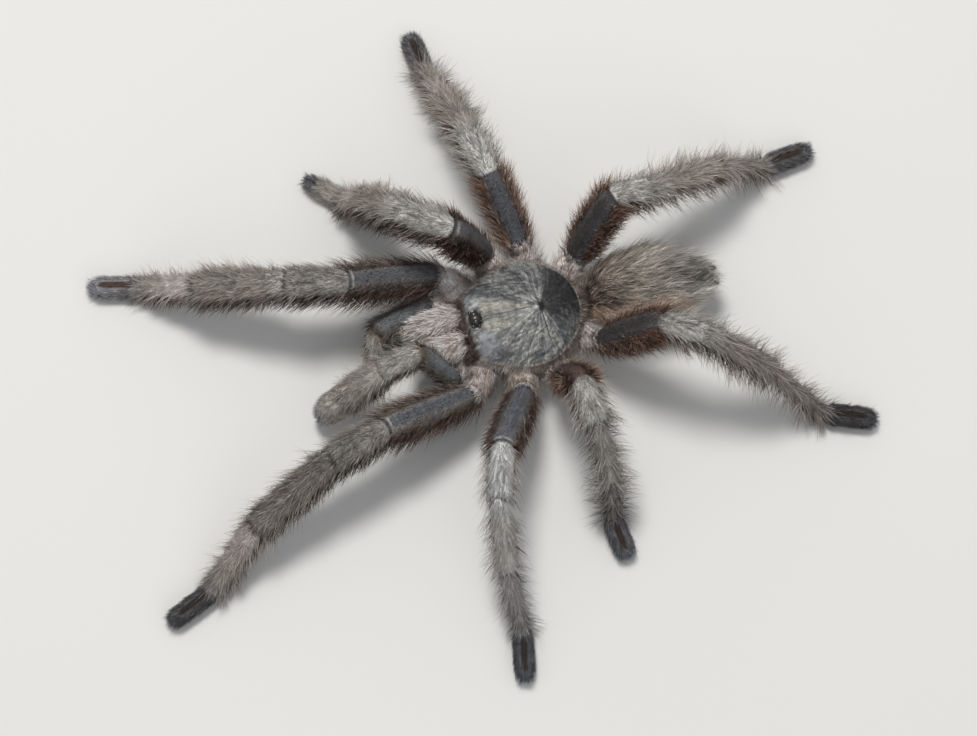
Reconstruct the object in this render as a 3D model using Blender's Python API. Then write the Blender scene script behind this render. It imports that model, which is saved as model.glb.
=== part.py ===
"""A tarantula standing on level ground, at life size, head toward -Y and feet at z = 0.

The body is a carapace with its mound of eyes, the underside with the coxae, two chelicerae
with folded fangs, an abdomen on its narrow waist, and two spinnerets. Each leg is a chain of
five lengths and each palp a chain of four, bent to the walking pose of the tables below.
Every solid goes out to the tips of the coat.
"""
from math import asin, cos, pi, radians, sin, sqrt

import bmesh
import bpy
from mathutils import Matrix, Vector

MM = 0.001

# The gap that neighbouring solids keep between their faces.
GAP = 0.3 * MM

# Front part of the body: it is turned a little to its left on the waist.
FRONT_TURN = radians(5.4)
WAIST = Vector((-0.6, 7.0, 0.0)) * MM
# The shell starts a little ahead of the waist and sits a little to the left of its middle.
CARAPACE_START = 0.9 * MM
CARAPACE_ASIDE = 0.5 * MM
CARAPACE_LENGTH = 17.9 * MM
CARAPACE_WIDTH = 17.4 * MM
CARAPACE_FLOOR = 8.7 * MM
CARAPACE_EDGE = 0.7 * MM
# Half width where it is cut off blunt at both ends, and how fast it swells between them: the
# first power moves the widest place toward the rear, the second fills the outline out.
CARAPACE_BLUNT = (2.2 * MM, 4.8 * MM)
CARAPACE_SWELL = (0.92, 0.7)
# Rises of the middle line above the edge, behind the middle dimple and at the head.
CARAPACE_BACK_RISE = 2.8 * MM
CARAPACE_HEAD_RISE = 3.6 * MM
CARAPACE_BACK_END = 0.84
CARAPACE_HEAD_PLACE = 0.86
CARAPACE_HEAD_REACH = 0.5
# How abruptly the middle line rises from the rear edge and drops to the front edge.
CARAPACE_ENDS = (8, 20)
CARAPACE_CROWN = 2.2
CARAPACE_RINGS = 12

# Eyes: one low mound behind the front edge, with eight eyes in two rows.
MOUND_FORWARD = 16.4 * MM
MOUND_LENGTH = 2.0 * MM
MOUND_WIDTH = 2.5 * MM
MOUND_HEIGHT = 1.0 * MM
# Rings of the mound, as shares of its radius and of its height.
MOUND_RINGS = ((1.0, 0.0), (0.93, 0.45), (0.72, 0.85), (0.3, 1.0))
EYE_RADIUS = 0.34 * MM
# Eyes of one side, in millimetres sideways, ahead of the mound's middle and above its foot.
EYE_PLACES = ((0.42, 0.56, 0.82), (0.96, 0.34, 0.52), (0.98, -0.3, 0.46), (0.62, -0.56, 0.7))

# Underside: the plate between the legs and where the limbs leave it.
PLATE_LENGTH = 15.0 * MM
PLATE_WIDTH = 12.6 * MM
PLATE_MIDDLE = 9.6 * MM
PLATE_BOTTOM = 3.4 * MM
PLATE_TOP = CARAPACE_FLOOR - GAP
PLATE_RIM = 1.2 * MM
PLATE_TUCK = 0.78
COXA_HEIGHT = 5.8 * MM
HIP_HEIGHT = 6.5 * MM
PALP_HIP_HEIGHT = 4.9 * MM
COXA_RADIUS = 2.1 * MM
PALP_COXA_RADIUS = 1.4 * MM
# The coxae fan out from points spread along the middle line by the first share of the hips'
# own spread, and start inside the plate by the second share of the way to the hip.
COXA_GIRTH = (0.8, 1.02, 0.95)
COXA_FAN = 0.55
# How many times wider each pair's coxa is on its front and its rear side, where it fills the
# room to the next one. This dies away to the hip.
COXA_SPREAD = {0: (1.0, 1.0), 1: (0.82, 1.3), 2: (1.4, 1.4), 3: (1.4, 1.3), 4: (1.35, 0.8)}
COXA_SPREAD_END = 4
COXA_CUTS = (0.36, 0.66)
COXA_INSET = 0.28

# Chelicerae and fangs, given from the waist forward.
CHELICERA_BACK = 19.4 * MM
CHELICERA_LENGTH = 8.6 * MM
CHELICERA_WIDTH = 3.9 * MM
CHELICERA_HEIGHT = 4.9 * MM
CHELICERA_BACK_HEIGHT = 8.3 * MM
CHELICERA_FRONT_HEIGHT = 7.5 * MM
# Rings of the chelicera from its rear face, as shares of its length and of its width.
CHELICERA_RINGS = ((0.0, 0.66), (0.22, 0.92), (0.48, 1.0), (0.74, 0.92), (0.93, 0.7), (1.0, 0.34))
FANG_LENGTH = 4.2 * MM
FANG_RADIUS = 0.5 * MM
FANG_ROOT = 0.8
FANG_TAPER = 0.8
FANG_BOW = 0.2 * MM

# Abdomen, which lies straight behind the waist, a little to its right.
ABDOMEN_LENGTH = 19.2 * MM
ABDOMEN_WIDTH = 14.4 * MM
ABDOMEN_HEIGHT = 12.6 * MM
ABDOMEN_CENTRE_HEIGHT = 8.6 * MM
ABDOMEN_LINE = WAIST.x - 0.35 * MM
# Its middle line starts lower at the waist and drops again toward the tail.
ABDOMEN_FRONT_DROP = 2.2 * MM
ABDOMEN_TAIL_DROP = 1.2 * MM
ABDOMEN_FULLNESS = 2.4
ABDOMEN_FRONT_LEAN = 0.92
ABDOMEN_RINGS = 12
WAIST_RADIUS = 1.3 * MM
WAIST_BACK = 0.6 * MM
SPINNERET_LENGTH = 1.9 * MM
SPINNERET_RADII = (0.55, 0.55, 0.47, 0.22)
SPINNERET_SPREAD = 1.1 * MM
SPINNERET_SPLAY = 0.3 * MM
SPINNERET_DROP = 1.6 * MM

# Legs. The hip is sideways from the middle line and forward of the waist.
LEG_PARTS = ("femur", "patella", "tibia", "metatarsus", "tarsus")
TOE_HEIGHT = 1.6 * MM
HIPS = {1: (10.0, 19.6), 2: (11.3, 12.2), 3: (10.3, 6.6), 4: (7.1, -0.6)}
LEG_LENGTHS = {
    1: (17.0, 9.3, 15.7, 12.5, 8.2),
    2: (15.0, 8.4, 11.8, 10.6, 7.7),
    3: (13.2, 7.4, 10.5, 10.0, 7.0),
    4: (16.0, 7.0, 14.0, 14.0, 8.2),
}
# Swing turns each length toward the tail, from straight out to its own side, in degrees.
LEG_SWINGS = {
    ("L", 1): (-71, -68, -63, -50, -62),
    ("L", 2): (-28, -13, -3, 7, -8),
    ("L", 3): (22, 8, 9, -6, 10),
    ("L", 4): (71, 63, 64, 57, 73),
    ("R", 1): (-96, -83, -72, -65, -80),
    ("R", 2): (-91, -58, -36, -35, -51),
    ("R", 3): (-16, -14, -15, -16, -11),
    ("R", 4): (60, 75, 73, 73, 79),
}
# Lift of the femur, patella and tibia above level, in degrees. The metatarsus comes down to
# the height of the tarsus, and the tarsus lies flat.
LEG_LIFTS = {
    ("L", 1): (22, 2, -20),
    ("L", 2): (35, 4, -36),
    ("L", 3): (65, 2, -46),
    ("L", 4): (56, 5, -38),
    ("R", 1): (28, 5, -24),
    ("R", 2): (69, -7, -45),
    ("R", 3): (27, 0, -30),
    ("R", 4): (63, -28, -22),
}
# Half width of each length at its start, middle and end, out to the coat.
LEG_GIRTHS = {
    "femur": (1.8, 2.6, 2.4),
    "patella": (2.4, 2.7, 2.6),
    "tibia": (2.6, 3.0, 2.7),
    "metatarsus": (2.6, 2.4, 1.9),
    "tarsus": (1.85, 1.8, 1.55),
}

# Palps: the same kind of chain with no metatarsus.
PALP_PARTS = ("femur", "patella", "tibia", "tarsus")
PALP_HIP = (6.9, 22.0)
PALP_LENGTHS = (11.0, 6.5, 8.0, 7.2)
PALP_SWINGS = {"L": (-118, -78, -77, -77), "R": (-113, -165, -280, -284)}
PALP_LIFTS = {"L": (60, -15, -42, -41), "R": (13.6, -63, -2, 0)}
PALP_GIRTHS = {
    "femur": (1.25, 1.45, 1.55),
    "patella": (2.0, 2.35, 2.25),
    "tibia": (2.3, 2.5, 2.5),
    "tarsus": (2.45, 2.5, 2.0),
}
# The right palp's end is folded under the mouth, with its coat pressed flat.
PALP_SLIMMING = {
    "L": {"femur": 1.0, "patella": 1.0, "tibia": 1.0, "tarsus": 1.0},
    "R": {"femur": 1.15, "patella": 0.75, "tibia": 0.64, "tarsus": 0.64},
}
LEG_SLIMMING = dict.fromkeys(LEG_PARTS, 1.0)

SIDES = {"L": 1.0, "R": -1.0}
LIMB_SIDES = 12
# Where a limb's lengths are cut into rings, as shares of the length.
CUTS = (0.27, 0.5, 0.8)
PATELLA_CUTS = (0.42, 0.68)
TIP_CUTS = (0.3, 0.6, 0.88)
TIP_ROUNDING = {0.88: 0.93, 1.0: 0.72}
SHARP_ANGLE = radians(50)


def clear_scene():
    for thing in list(bpy.data.objects):
        bpy.data.objects.remove(thing, do_unlink=True)


def material(name, colour, roughness):
    """A plain skin or shell material."""
    made = bpy.data.materials.new(name)
    made.use_nodes = True
    shader = made.node_tree.nodes["Principled BSDF"]
    shader.inputs["Base Color"].default_value = (*colour, 1.0)
    shader.inputs["Roughness"].default_value = roughness
    shader.inputs["Metallic"].default_value = 0.0
    return made


def front_place(sideways, forward, height=0.0):
    """A place on the front part of the body, from the waist, in metres."""
    left = Vector((cos(FRONT_TURN), sin(FRONT_TURN), 0.0))
    ahead = Vector((sin(FRONT_TURN), -cos(FRONT_TURN), 0.0))
    return WAIST + left * sideways + ahead * forward + Vector((0.0, 0.0, height))


def shell_place(sideways, forward, height=0.0):
    """A place on the shell, from the middle of its rear edge."""
    return front_place(sideways + CARAPACE_ASIDE, forward + CARAPACE_START, height)


def blend(values, along):
    """Smooth value at 0..1 through a start, a middle and an end value."""
    start, middle, end = values
    bend = start + end - 2.0 * middle
    return middle + (end - start) * (along - 0.5) + 2.0 * bend * (along - 0.5) ** 2


def finish(mesh_data, name, skin):
    """Turn a bmesh into a named object with smooth shading."""
    mesh_data.normal_update()
    bmesh.ops.recalc_face_normals(mesh_data, faces=mesh_data.faces)
    mesh = bpy.data.meshes.new(name)
    mesh_data.to_mesh(mesh)
    mesh_data.free()
    mesh.shade_smooth()
    mesh.set_sharp_from_angle(angle=SHARP_ANGLE)
    thing = bpy.data.objects.new(name, mesh)
    bpy.context.scene.collection.objects.link(thing)
    mesh.materials.append(skin)
    return thing


def barrel(name, skin, sides, cuts, place):
    """A closed drum cut into rings, each corner moved by place(across, up, along)."""
    drum = bmesh.new()
    middle = Matrix.Translation((0.0, 0.0, 0.5))
    bmesh.ops.create_cone(drum, cap_ends=True, segments=sides, radius1=1.0, radius2=1.0,
                          depth=1.0, matrix=middle)
    for cut in cuts:
        everything = drum.verts[:] + drum.edges[:] + drum.faces[:]
        bmesh.ops.bisect_plane(drum, geom=everything, plane_co=(0.0, 0.0, cut),
                               plane_no=(0.0, 0.0, 1.0))
    for corner in drum.verts:
        corner.co = place(*corner.co)
    return finish(drum, name, skin)


def join_solid(main, others):
    """Union the other objects into the main one and remove them."""
    for other in others:
        union = main.modifiers.new("union", "BOOLEAN")
        union.operation = "UNION"
        union.object = other
        other.hide_render = True
        other.display_type = "WIRE"
    bpy.context.view_layer.update()
    shaped = main.evaluated_get(bpy.context.evaluated_depsgraph_get())
    solid = bpy.data.meshes.new_from_object(shaped)
    main.modifiers.clear()
    main.data = solid
    for other in others:
        bpy.data.objects.remove(other, do_unlink=True)
    solid.shade_smooth()
    solid.set_sharp_from_angle(angle=SHARP_ANGLE)


def limb_length(name, skin, ends, faces, girth, underside, cuts, tip=False, spread=(1.0, 1.0)):
    """One length of a limb between two joints.

    ends are its start and end points, faces the directions that its two end faces look
    along, girth its half width at the start, middle and end, and underside the most that it
    reaches below its middle line. A tip is rounded off. spread is how many times wider it
    is on the side that across points to and on the other, dying away to its end.
    """
    start, end = ends
    line = (end - start).normalized()
    across = line.cross(Vector((0.0, 0.0, 1.0))).normalized()
    upward = across.cross(line)

    def place(side, lift, along):
        width = blend(girth, along)
        if tip:
            width *= TIP_ROUNDING.get(round(along, 2), 1.0)
        wider = (spread[0 if side > 0.0 else 1] - 1.0) * (1.0 - along ** COXA_SPREAD_END)
        spot = across * (side * width * (1.0 + wider)) + upward * max(lift * width, -underside)
        spot += start.lerp(end, along)
        if along == 0.0:
            spot -= line * ((spot - start).dot(faces[0]) - GAP / 2) * (1.0 / line.dot(faces[0]))
        if along == 1.0 and not tip:
            spot -= line * ((spot - end).dot(faces[1]) + GAP / 2) * (1.0 / line.dot(faces[1]))
        return spot

    return barrel(name, skin, LIMB_SIDES, cuts, place)


def chain(hip, lengths, swings, lifts, side):
    """Joint points of a limb, hip first."""
    points = [hip]
    for length, swing, lift in zip(lengths, swings, lifts):
        turn = radians(swing)
        rise = radians(lift)
        step = Vector((SIDES[side] * cos(turn) * cos(rise), sin(turn) * cos(rise), sin(rise)))
        points.append(points[-1] + step * (length * MM))
    return points


def bisector(before, joint, after):
    """Direction that a joint's faces look along."""
    return ((joint - before).normalized() + (after - joint).normalized()).normalized()


def leg_points(side, pair):
    """Joint points of a leg, with the last two found from the height of the foot."""
    sideways, forward = HIPS[pair]
    hip = front_place(SIDES[side] * sideways * MM, forward * MM, HIP_HEIGHT)
    lengths = LEG_LENGTHS[pair]
    upper = chain(hip, lengths[:3], LEG_SWINGS[side, pair][:3], LEG_LIFTS[side, pair], side)
    drop = asin((TOE_HEIGHT - upper[-1].z) / (lengths[3] * MM))
    lifts = LEG_LIFTS[side, pair] + (drop * 180.0 / pi, 0.0)
    return chain(hip, lengths, LEG_SWINGS[side, pair], lifts, side)


def coxa_start(hip):
    """Inner end of a coxa, inside the underside's plate and below the hip's height."""
    forward = (hip - WAIST).dot(front_place(0.0, 1.0) - WAIST)
    root = front_place(0.0, PLATE_MIDDLE + (forward - PLATE_MIDDLE) * COXA_FAN, hip.z)
    start = root.lerp(hip, COXA_INSET)
    start.z = min(COXA_HEIGHT, hip.z)
    return start


def build_limb(prefix, points, before, parts, girths, slimming, flesh):
    """The solids of one limb, from its joint points."""
    corners = [before] + points
    for index, part in enumerate(parts):
        start, end = points[index], points[index + 1]
        tip = index == len(parts) - 1
        first_face = bisector(corners[index], start, end)
        last_face = (end - start).normalized() if tip else bisector(start, end, points[index + 2])
        girth = tuple(value * slimming[part] * MM for value in girths[part])
        cuts = TIP_CUTS if tip else PATELLA_CUTS if part == "patella" else CUTS
        low = TOE_HEIGHT if part in ("metatarsus", "tarsus") else max(girth)
        limb_length(f"{prefix}_{part}", flesh[part], (start, end), (first_face, last_face),
                    girth, low, cuts, tip)


def carapace_half_width(forward):
    """Half width of the carapace at a place from its rear edge to its front edge."""
    lean, fullness = CARAPACE_SWELL
    along = min(max(forward / CARAPACE_LENGTH, 0.0), 1.0)
    swell = max(0.0, sin(pi * along ** lean)) ** fullness
    rear, front = CARAPACE_BLUNT
    blunt = rear + (front - rear) * along ** 2
    return blunt + (CARAPACE_WIDTH / 2 - blunt) * swell


def carapace_rise(forward):
    """Height of the carapace's middle line above its edge."""
    along = forward / CARAPACE_LENGTH
    back = sin(pi * min(along / CARAPACE_BACK_END, 1.0))
    head = cos(pi / 2 * min(abs(along - CARAPACE_HEAD_PLACE) / CARAPACE_HEAD_REACH, 1.0))
    steep = CARAPACE_ENDS[along > 0.5]
    ends = sqrt(max(0.0, 1.0 - (2.0 * along - 1.0) ** steep))
    back = CARAPACE_BACK_RISE * sqrt(max(back, 0.0))
    head = CARAPACE_HEAD_RISE * head
    # The two rises run into each other with no crease.
    return ends * (back ** 6 + head ** 6) ** (1 / 6)


def carapace_top(sideways, forward):
    """Height of the carapace's upper surface."""
    part = min(abs(sideways) / carapace_half_width(forward), 1.0)
    crown = CARAPACE_EDGE + carapace_rise(forward) * (1.0 - part ** CARAPACE_CROWN)
    return CARAPACE_FLOOR + crown


def build_carapace(shell):
    def place(side, lift, along):
        # The rings sit closer near both ends. The lower half of each is flat.
        forward = CARAPACE_LENGTH * (0.5 - 0.5 * cos(pi * along))
        sideways = side * carapace_half_width(forward)
        height = CARAPACE_FLOOR
        if abs(lift) < 0.01:
            height = CARAPACE_FLOOR + CARAPACE_EDGE / 2
        elif lift > 0.0:
            height = carapace_top(sideways, forward)
        return shell_place(sideways, forward, height)

    cuts = [step / CARAPACE_RINGS for step in range(1, CARAPACE_RINGS)]
    return barrel("carapace", shell, 20, cuts, place)


def build_eye_mound(shell):
    """The mound with its eight eyes, as one solid on top of the carapace."""
    def place(side, lift, along):
        radius, dome = MOUND_RINGS[round(along * 3)]
        sideways = side * radius * MOUND_WIDTH / 2
        forward = MOUND_FORWARD + lift * radius * MOUND_LENGTH / 2
        height = carapace_top(sideways, forward) + GAP * 1.7
        if dome > 0.0:
            height = carapace_top(0.0, MOUND_FORWARD) + GAP + MOUND_HEIGHT * dome
        return shell_place(sideways, forward, height)

    mound = barrel("eye_mound", shell, 16, (1 / 3, 2 / 3), place)
    base = carapace_top(0.0, MOUND_FORWARD)
    eyes = []
    for side in SIDES:
        for number, (across, ahead, up) in enumerate(EYE_PLACES):
            ball = bmesh.new()
            spot = shell_place(SIDES[side] * across * MM, MOUND_FORWARD + ahead * MM,
                               base + up * MM)
            bmesh.ops.create_icosphere(ball, subdivisions=1, radius=EYE_RADIUS,
                                       matrix=Matrix.Translation(spot))
            eyes.append(finish(ball, f"eye_{side}{number}", shell))
    join_solid(mound, eyes)
    return mound


def build_underside(shell, hips, palp_hips):
    """The plate between the legs, with the eight coxae and the two palp bases."""
    def place(side, lift, along):
        height = (PLATE_BOTTOM, PLATE_BOTTOM + PLATE_RIM, PLATE_TOP)[round(along * 2)]
        spread = PLATE_TUCK if along == 0.0 else 1.0
        return front_place(side * spread * PLATE_WIDTH / 2,
                           PLATE_MIDDLE + lift * spread * PLATE_LENGTH / 2, height)

    plate = barrel("underside", shell, 20, (0.5,), place)
    coxae = []
    for key, (hip, knee, start) in {**hips, **palp_hips}.items():
        facing = (hip - start).normalized()
        radius = COXA_RADIUS if key in hips else PALP_COXA_RADIUS
        girth = tuple(radius * value for value in COXA_GIRTH)
        spread = COXA_SPREAD[int(key[1])] if key in hips else COXA_SPREAD[0]
        coxa = limb_length(f"coxa_{key}", shell, (start, hip),
                           (facing, bisector(start, hip, knee)), girth, max(girth), COXA_CUTS,
                           spread=spread if key[0] == "L" else spread[::-1])
        coxae.append(coxa)
    join_solid(plate, coxae)
    return plate


def build_chelicera(side, skin):
    """Basal length of a chelicera, bulging up from the carapace and bending down."""
    sign = SIDES[side]
    lateral = CHELICERA_WIDTH / 2 + GAP / 2
    last = len(CHELICERA_RINGS) - 1

    def place(across, lift, along):
        ahead, size = CHELICERA_RINGS[round(along * last)]
        drop = (CHELICERA_BACK_HEIGHT - CHELICERA_FRONT_HEIGHT) * along ** 2
        height = CHELICERA_BACK_HEIGHT - drop + lift * size * CHELICERA_HEIGHT / 2
        return front_place(sign * lateral + across * size * CHELICERA_WIDTH / 2,
                           CHELICERA_BACK + ahead * CHELICERA_LENGTH, height)

    cuts = [step / last for step in range(1, last)]
    return barrel(f"chelicera_{side}", skin, 12, cuts, place)


def build_fang(side, shell):
    """A curved fang folded back under its chelicera."""
    sign = SIDES[side]
    lateral = CHELICERA_WIDTH / 2 + GAP / 2
    root_forward = CHELICERA_BACK + CHELICERA_LENGTH * FANG_ROOT
    root_height = CHELICERA_FRONT_HEIGHT - CHELICERA_HEIGHT / 2 - FANG_RADIUS - GAP

    def place(across, lift, along):
        radius = FANG_RADIUS * (1.0 - FANG_TAPER * along)
        height = root_height - FANG_BOW * sin(pi * along) + lift * radius
        return front_place(sign * lateral + across * radius,
                           root_forward - FANG_LENGTH * along, height)

    return barrel(f"fang_{side}", shell, 10, (0.25, 0.5, 0.75), place)


def build_abdomen(skin):
    """Egg-shaped abdomen that starts as the narrow waist."""
    start = WAIST.y + WAIST_BACK

    def place(side, lift, along):
        step = 0.5 - 0.5 * cos(pi * along)
        bulge = abs(2.0 * step ** ABDOMEN_FRONT_LEAN - 1.0) ** ABDOMEN_FULLNESS
        swell = sqrt(max(0.0, 1.0 - bulge))
        width = max(WAIST_RADIUS, swell * ABDOMEN_WIDTH / 2)
        height = max(WAIST_RADIUS, swell * ABDOMEN_HEIGHT / 2)
        drop = ABDOMEN_FRONT_DROP * (1.0 - step) ** 3 + ABDOMEN_TAIL_DROP * step ** 3
        return Vector((ABDOMEN_LINE + side * width, start + step * ABDOMEN_LENGTH,
                       ABDOMEN_CENTRE_HEIGHT - drop + lift * height))

    cuts = [step / ABDOMEN_RINGS for step in range(1, ABDOMEN_RINGS)]
    return barrel("abdomen", skin, 18, cuts, place)


def build_spinneret(side, skin):
    """A finger-like spinneret below the rear end of the abdomen."""
    root = Vector((ABDOMEN_LINE + SIDES[side] * SPINNERET_SPREAD,
                   WAIST.y + WAIST_BACK + ABDOMEN_LENGTH + GAP,
                   ABDOMEN_CENTRE_HEIGHT - SPINNERET_DROP))

    def place(across, lift, along):
        radius = SPINNERET_RADII[round(along * 3)] * MM
        return root + Vector((across * radius + SIDES[side] * SPINNERET_SPLAY * along,
                              SPINNERET_LENGTH * along, lift * radius))

    return barrel(f"spinneret_{side}", skin, 10, (1 / 3, 2 / 3), place)


clear_scene()
shell = material("dark_shell", (0.09, 0.1, 0.1), 0.45)
horn = material("black_horn", (0.02, 0.015, 0.013), 0.2)
pale = material("pale_hair", (0.36, 0.28, 0.23), 0.8)
belly = material("brown_hair", (0.2, 0.15, 0.11), 0.85)
flesh = {
    "femur": material("femur_hair", (0.11, 0.09, 0.09), 0.75),
    "patella": material("patella_hair", (0.27, 0.25, 0.24), 0.75),
    "tibia": material("tibia_hair", (0.24, 0.21, 0.19), 0.8),
    "metatarsus": material("metatarsus_hair", (0.21, 0.19, 0.18), 0.8),
    "tarsus": material("tarsus_hair", (0.15, 0.15, 0.16), 0.7),
}

hips = {}
palp_hips = {}
for side in SIDES:
    for pair in HIPS:
        points = leg_points(side, pair)
        before = coxa_start(points[0])
        hips[f"{side}{pair}"] = (points[0], points[1], before)
        build_limb(f"leg_{side}{pair}", points, before, LEG_PARTS, LEG_GIRTHS,
                   LEG_SLIMMING, flesh)
    sideways, forward = PALP_HIP
    hip = front_place(SIDES[side] * sideways * MM, forward * MM, PALP_HIP_HEIGHT)
    points = chain(hip, PALP_LENGTHS, PALP_SWINGS[side], PALP_LIFTS[side], side)
    before = coxa_start(points[0])
    palp_hips[f"palp_{side}"] = (points[0], points[1], before)
    build_limb(f"palp_{side}", points, before, PALP_PARTS, PALP_GIRTHS, PALP_SLIMMING[side],
               flesh)

build_carapace(shell)
build_eye_mound(horn)
build_underside(belly, hips, palp_hips)
build_abdomen(belly)
for side in SIDES:
    build_chelicera(side, pale)
    build_fang(side, horn)
    build_spinneret(side, belly)

# The origin goes on the floor below the middle of the whole animal.
corners = [spot.co for thing in bpy.data.objects for spot in thing.data.vertices]
centre_x = (min(spot.x for spot in corners) + max(spot.x for spot in corners)) / 2
centre_y = (min(spot.y for spot in corners) + max(spot.y for spot in corners)) / 2
lowest = min(spot.z for spot in corners)
for thing in bpy.data.objects:
    thing.location = (-centre_x, -centre_y, -lowest)
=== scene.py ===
from math import cos, pi, radians, sin

import bpy
import numpy as np
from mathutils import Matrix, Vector
from mathutils.bvhtree import BVHTree
from mathutils.kdtree import KDTree


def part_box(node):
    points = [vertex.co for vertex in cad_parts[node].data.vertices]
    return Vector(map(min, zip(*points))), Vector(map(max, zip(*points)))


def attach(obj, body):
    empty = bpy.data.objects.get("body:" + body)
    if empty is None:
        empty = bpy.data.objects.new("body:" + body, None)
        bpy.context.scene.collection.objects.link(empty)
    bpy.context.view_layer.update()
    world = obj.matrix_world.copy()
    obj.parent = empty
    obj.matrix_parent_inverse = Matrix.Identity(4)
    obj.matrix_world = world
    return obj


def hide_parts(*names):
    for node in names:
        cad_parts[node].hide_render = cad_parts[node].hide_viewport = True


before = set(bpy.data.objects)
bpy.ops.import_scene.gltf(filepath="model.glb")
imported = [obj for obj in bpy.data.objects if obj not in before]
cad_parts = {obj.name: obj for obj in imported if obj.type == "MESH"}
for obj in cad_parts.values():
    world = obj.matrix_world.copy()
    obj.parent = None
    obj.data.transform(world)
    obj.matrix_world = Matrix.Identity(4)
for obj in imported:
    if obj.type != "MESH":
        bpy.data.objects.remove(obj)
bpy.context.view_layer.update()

MM = 0.001
bpy.ops.object.select_all(action="DESELECT")


# The stand: a pale matt floor, one large soft lamp high on the animal's right, a weak fill
# lamp on its left and an even pale room round it. The camera looks steeply down on its back.
CAMERA_PLACE = (0.1394, -0.0237, 0.4247)
CAMERA_AIM = (0.0063, 0.0005, 0.0081)
CAMERA_LENS = 105.0
FLOOR_HALF = 2.5
WARM_WHITE = (1.0, 0.985, 0.96)


class Wire:
    """A value or colour on its way through a finish, so that sums can be written plainly."""

    def __init__(self, finish, socket):
        self.finish = finish
        self.socket = socket

    def sum_with(self, operation, first, second):
        return self.finish.node("ShaderNodeMath", {"operation": operation}, {0: first, 1: second})

    def __add__(self, other):
        return self.sum_with("ADD", self, other)

    __radd__ = __add__

    def __mul__(self, other):
        return self.sum_with("MULTIPLY", self, other)

    __rmul__ = __mul__


class Finish:
    """A material, built up node by node round one Principled shader."""

    def __init__(self, name, **fixed):
        self.material = bpy.data.materials.new(name)
        self.material.use_nodes = True
        self.tree = self.material.node_tree
        self.shader = self.tree.nodes["Principled BSDF"]
        self.set_sockets(self.shader, {key.replace("_", " "): fixed[key] for key in fixed})

    def set_sockets(self, node, sockets):
        for key, value in sockets.items():
            if isinstance(value, Wire):
                self.tree.links.new(value.socket, node.inputs[key])
            else:
                node.inputs[key].default_value = value

    def node(self, kind, settings, sockets, output=0):
        made = self.tree.nodes.new(kind)
        for key, value in settings.items():
            if key == "stops":
                while len(made.color_ramp.elements) < len(value):
                    made.color_ramp.elements.new(0.5)
                for stop, (place, colour) in zip(made.color_ramp.elements, value):
                    stop.position = place
                    stop.color = (*colour, 1.0)
            else:
                setattr(made, key, value)
        self.set_sockets(made, sockets)
        return Wire(self, made.outputs[output])

    def place(self):
        return self.node("ShaderNodeTexCoord", {}, {}, "Object")

    def grain(self, size, detail=2.0, rough=0.5):
        """Noise with lumps about size mm across, from 0 to 1."""
        sockets = {"Vector": self.place(), "Scale": 1.0 / (size * MM), "Detail": detail,
                   "Roughness": rough}
        return self.node("ShaderNodeTexNoise", {}, sockets, "Fac")

    def painted_tint(self):
        """The colour that was painted on the piece's corners."""
        return self.node("ShaderNodeAttribute", {"attribute_name": "tint"}, {}, "Color")

    def two_tone(self, share, low, dark, high, light):
        """Runs from a dark to a light colour as a share goes from low to high."""
        stops = ((low, dark), (high, light))
        return self.node("ShaderNodeValToRGB", {"stops": stops}, {"Fac": share})

    def tinted(self, colour, amount):
        """The colour made darker or lighter all over by a number."""
        grey = self.node("ShaderNodeCombineXYZ", {}, {0: amount, 1: amount, 2: amount})
        return self.node("ShaderNodeVectorMath", {"operation": "MULTIPLY"}, {0: colour, 1: grey})

    def bump(self, height, depth, strength=1.0):
        """Lifts the surface by a height from 0 to 1, depth mm deep."""
        sockets = {"Height": height, "Distance": depth * MM, "Strength": strength}
        return self.node("ShaderNodeBump", {}, sockets)

    def wear(self, **varying):
        """Sets the shader's own sockets, most of them from wires."""
        self.set_sockets(self.shader, {key.replace("_", " "): varying[key] for key in varying})


bpy.ops.mesh.primitive_plane_add(size=2 * FLOOR_HALF, location=(0, 0, 0))
floor = bpy.context.object
floor.name = "floor"
paper = Finish("pale_floor", Roughness=0.85)
paper.wear(Base_Color=paper.tinted(WARM_WHITE, paper.grain(120.0) * 0.03 + 0.69))
floor.data.materials.append(paper.material)

lens = bpy.data.cameras.new("camera")
lens.lens = CAMERA_LENS
lens.sensor_width = 36.0
lens.clip_start = 0.01
camera = bpy.data.objects.new("camera", lens)
camera.location = CAMERA_PLACE
gaze = Vector(CAMERA_AIM) - Vector(CAMERA_PLACE)
camera.rotation_euler = gaze.to_track_quat("-Z", "Y").to_euler()
bpy.context.scene.collection.objects.link(camera)
bpy.context.scene.camera = camera


def add_lamp(name, place, size, power, colour):
    """A round soft lamp, turned towards the middle of the floor."""
    lamp = bpy.data.lights.new(name, "AREA")
    lamp.shape = "DISK"
    lamp.size = size
    lamp.energy = power
    lamp.color = colour
    stand = bpy.data.objects.new(name, lamp)
    stand.location = place
    stand.rotation_euler = (-Vector(place)).to_track_quat("-Z", "Y").to_euler()
    bpy.context.scene.collection.objects.link(stand)


add_lamp("main_lamp", place=(-0.26, -0.05, 0.82), size=0.26, power=5.2, colour=WARM_WHITE)
add_lamp("fill_lamp", place=(0.70, 0.20, 0.55), size=0.60, power=0.9, colour=(0.94, 0.97, 1.0))
room = bpy.data.worlds.new("room")
room.use_nodes = True
walls = room.node_tree.nodes["Background"].inputs
walls["Color"].default_value = (0.95, 0.97, 1.0, 1.0)
walls["Strength"].default_value = 0.45
bpy.context.scene.world = room
bpy.context.scene.view_settings.view_transform = "Standard"


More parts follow.
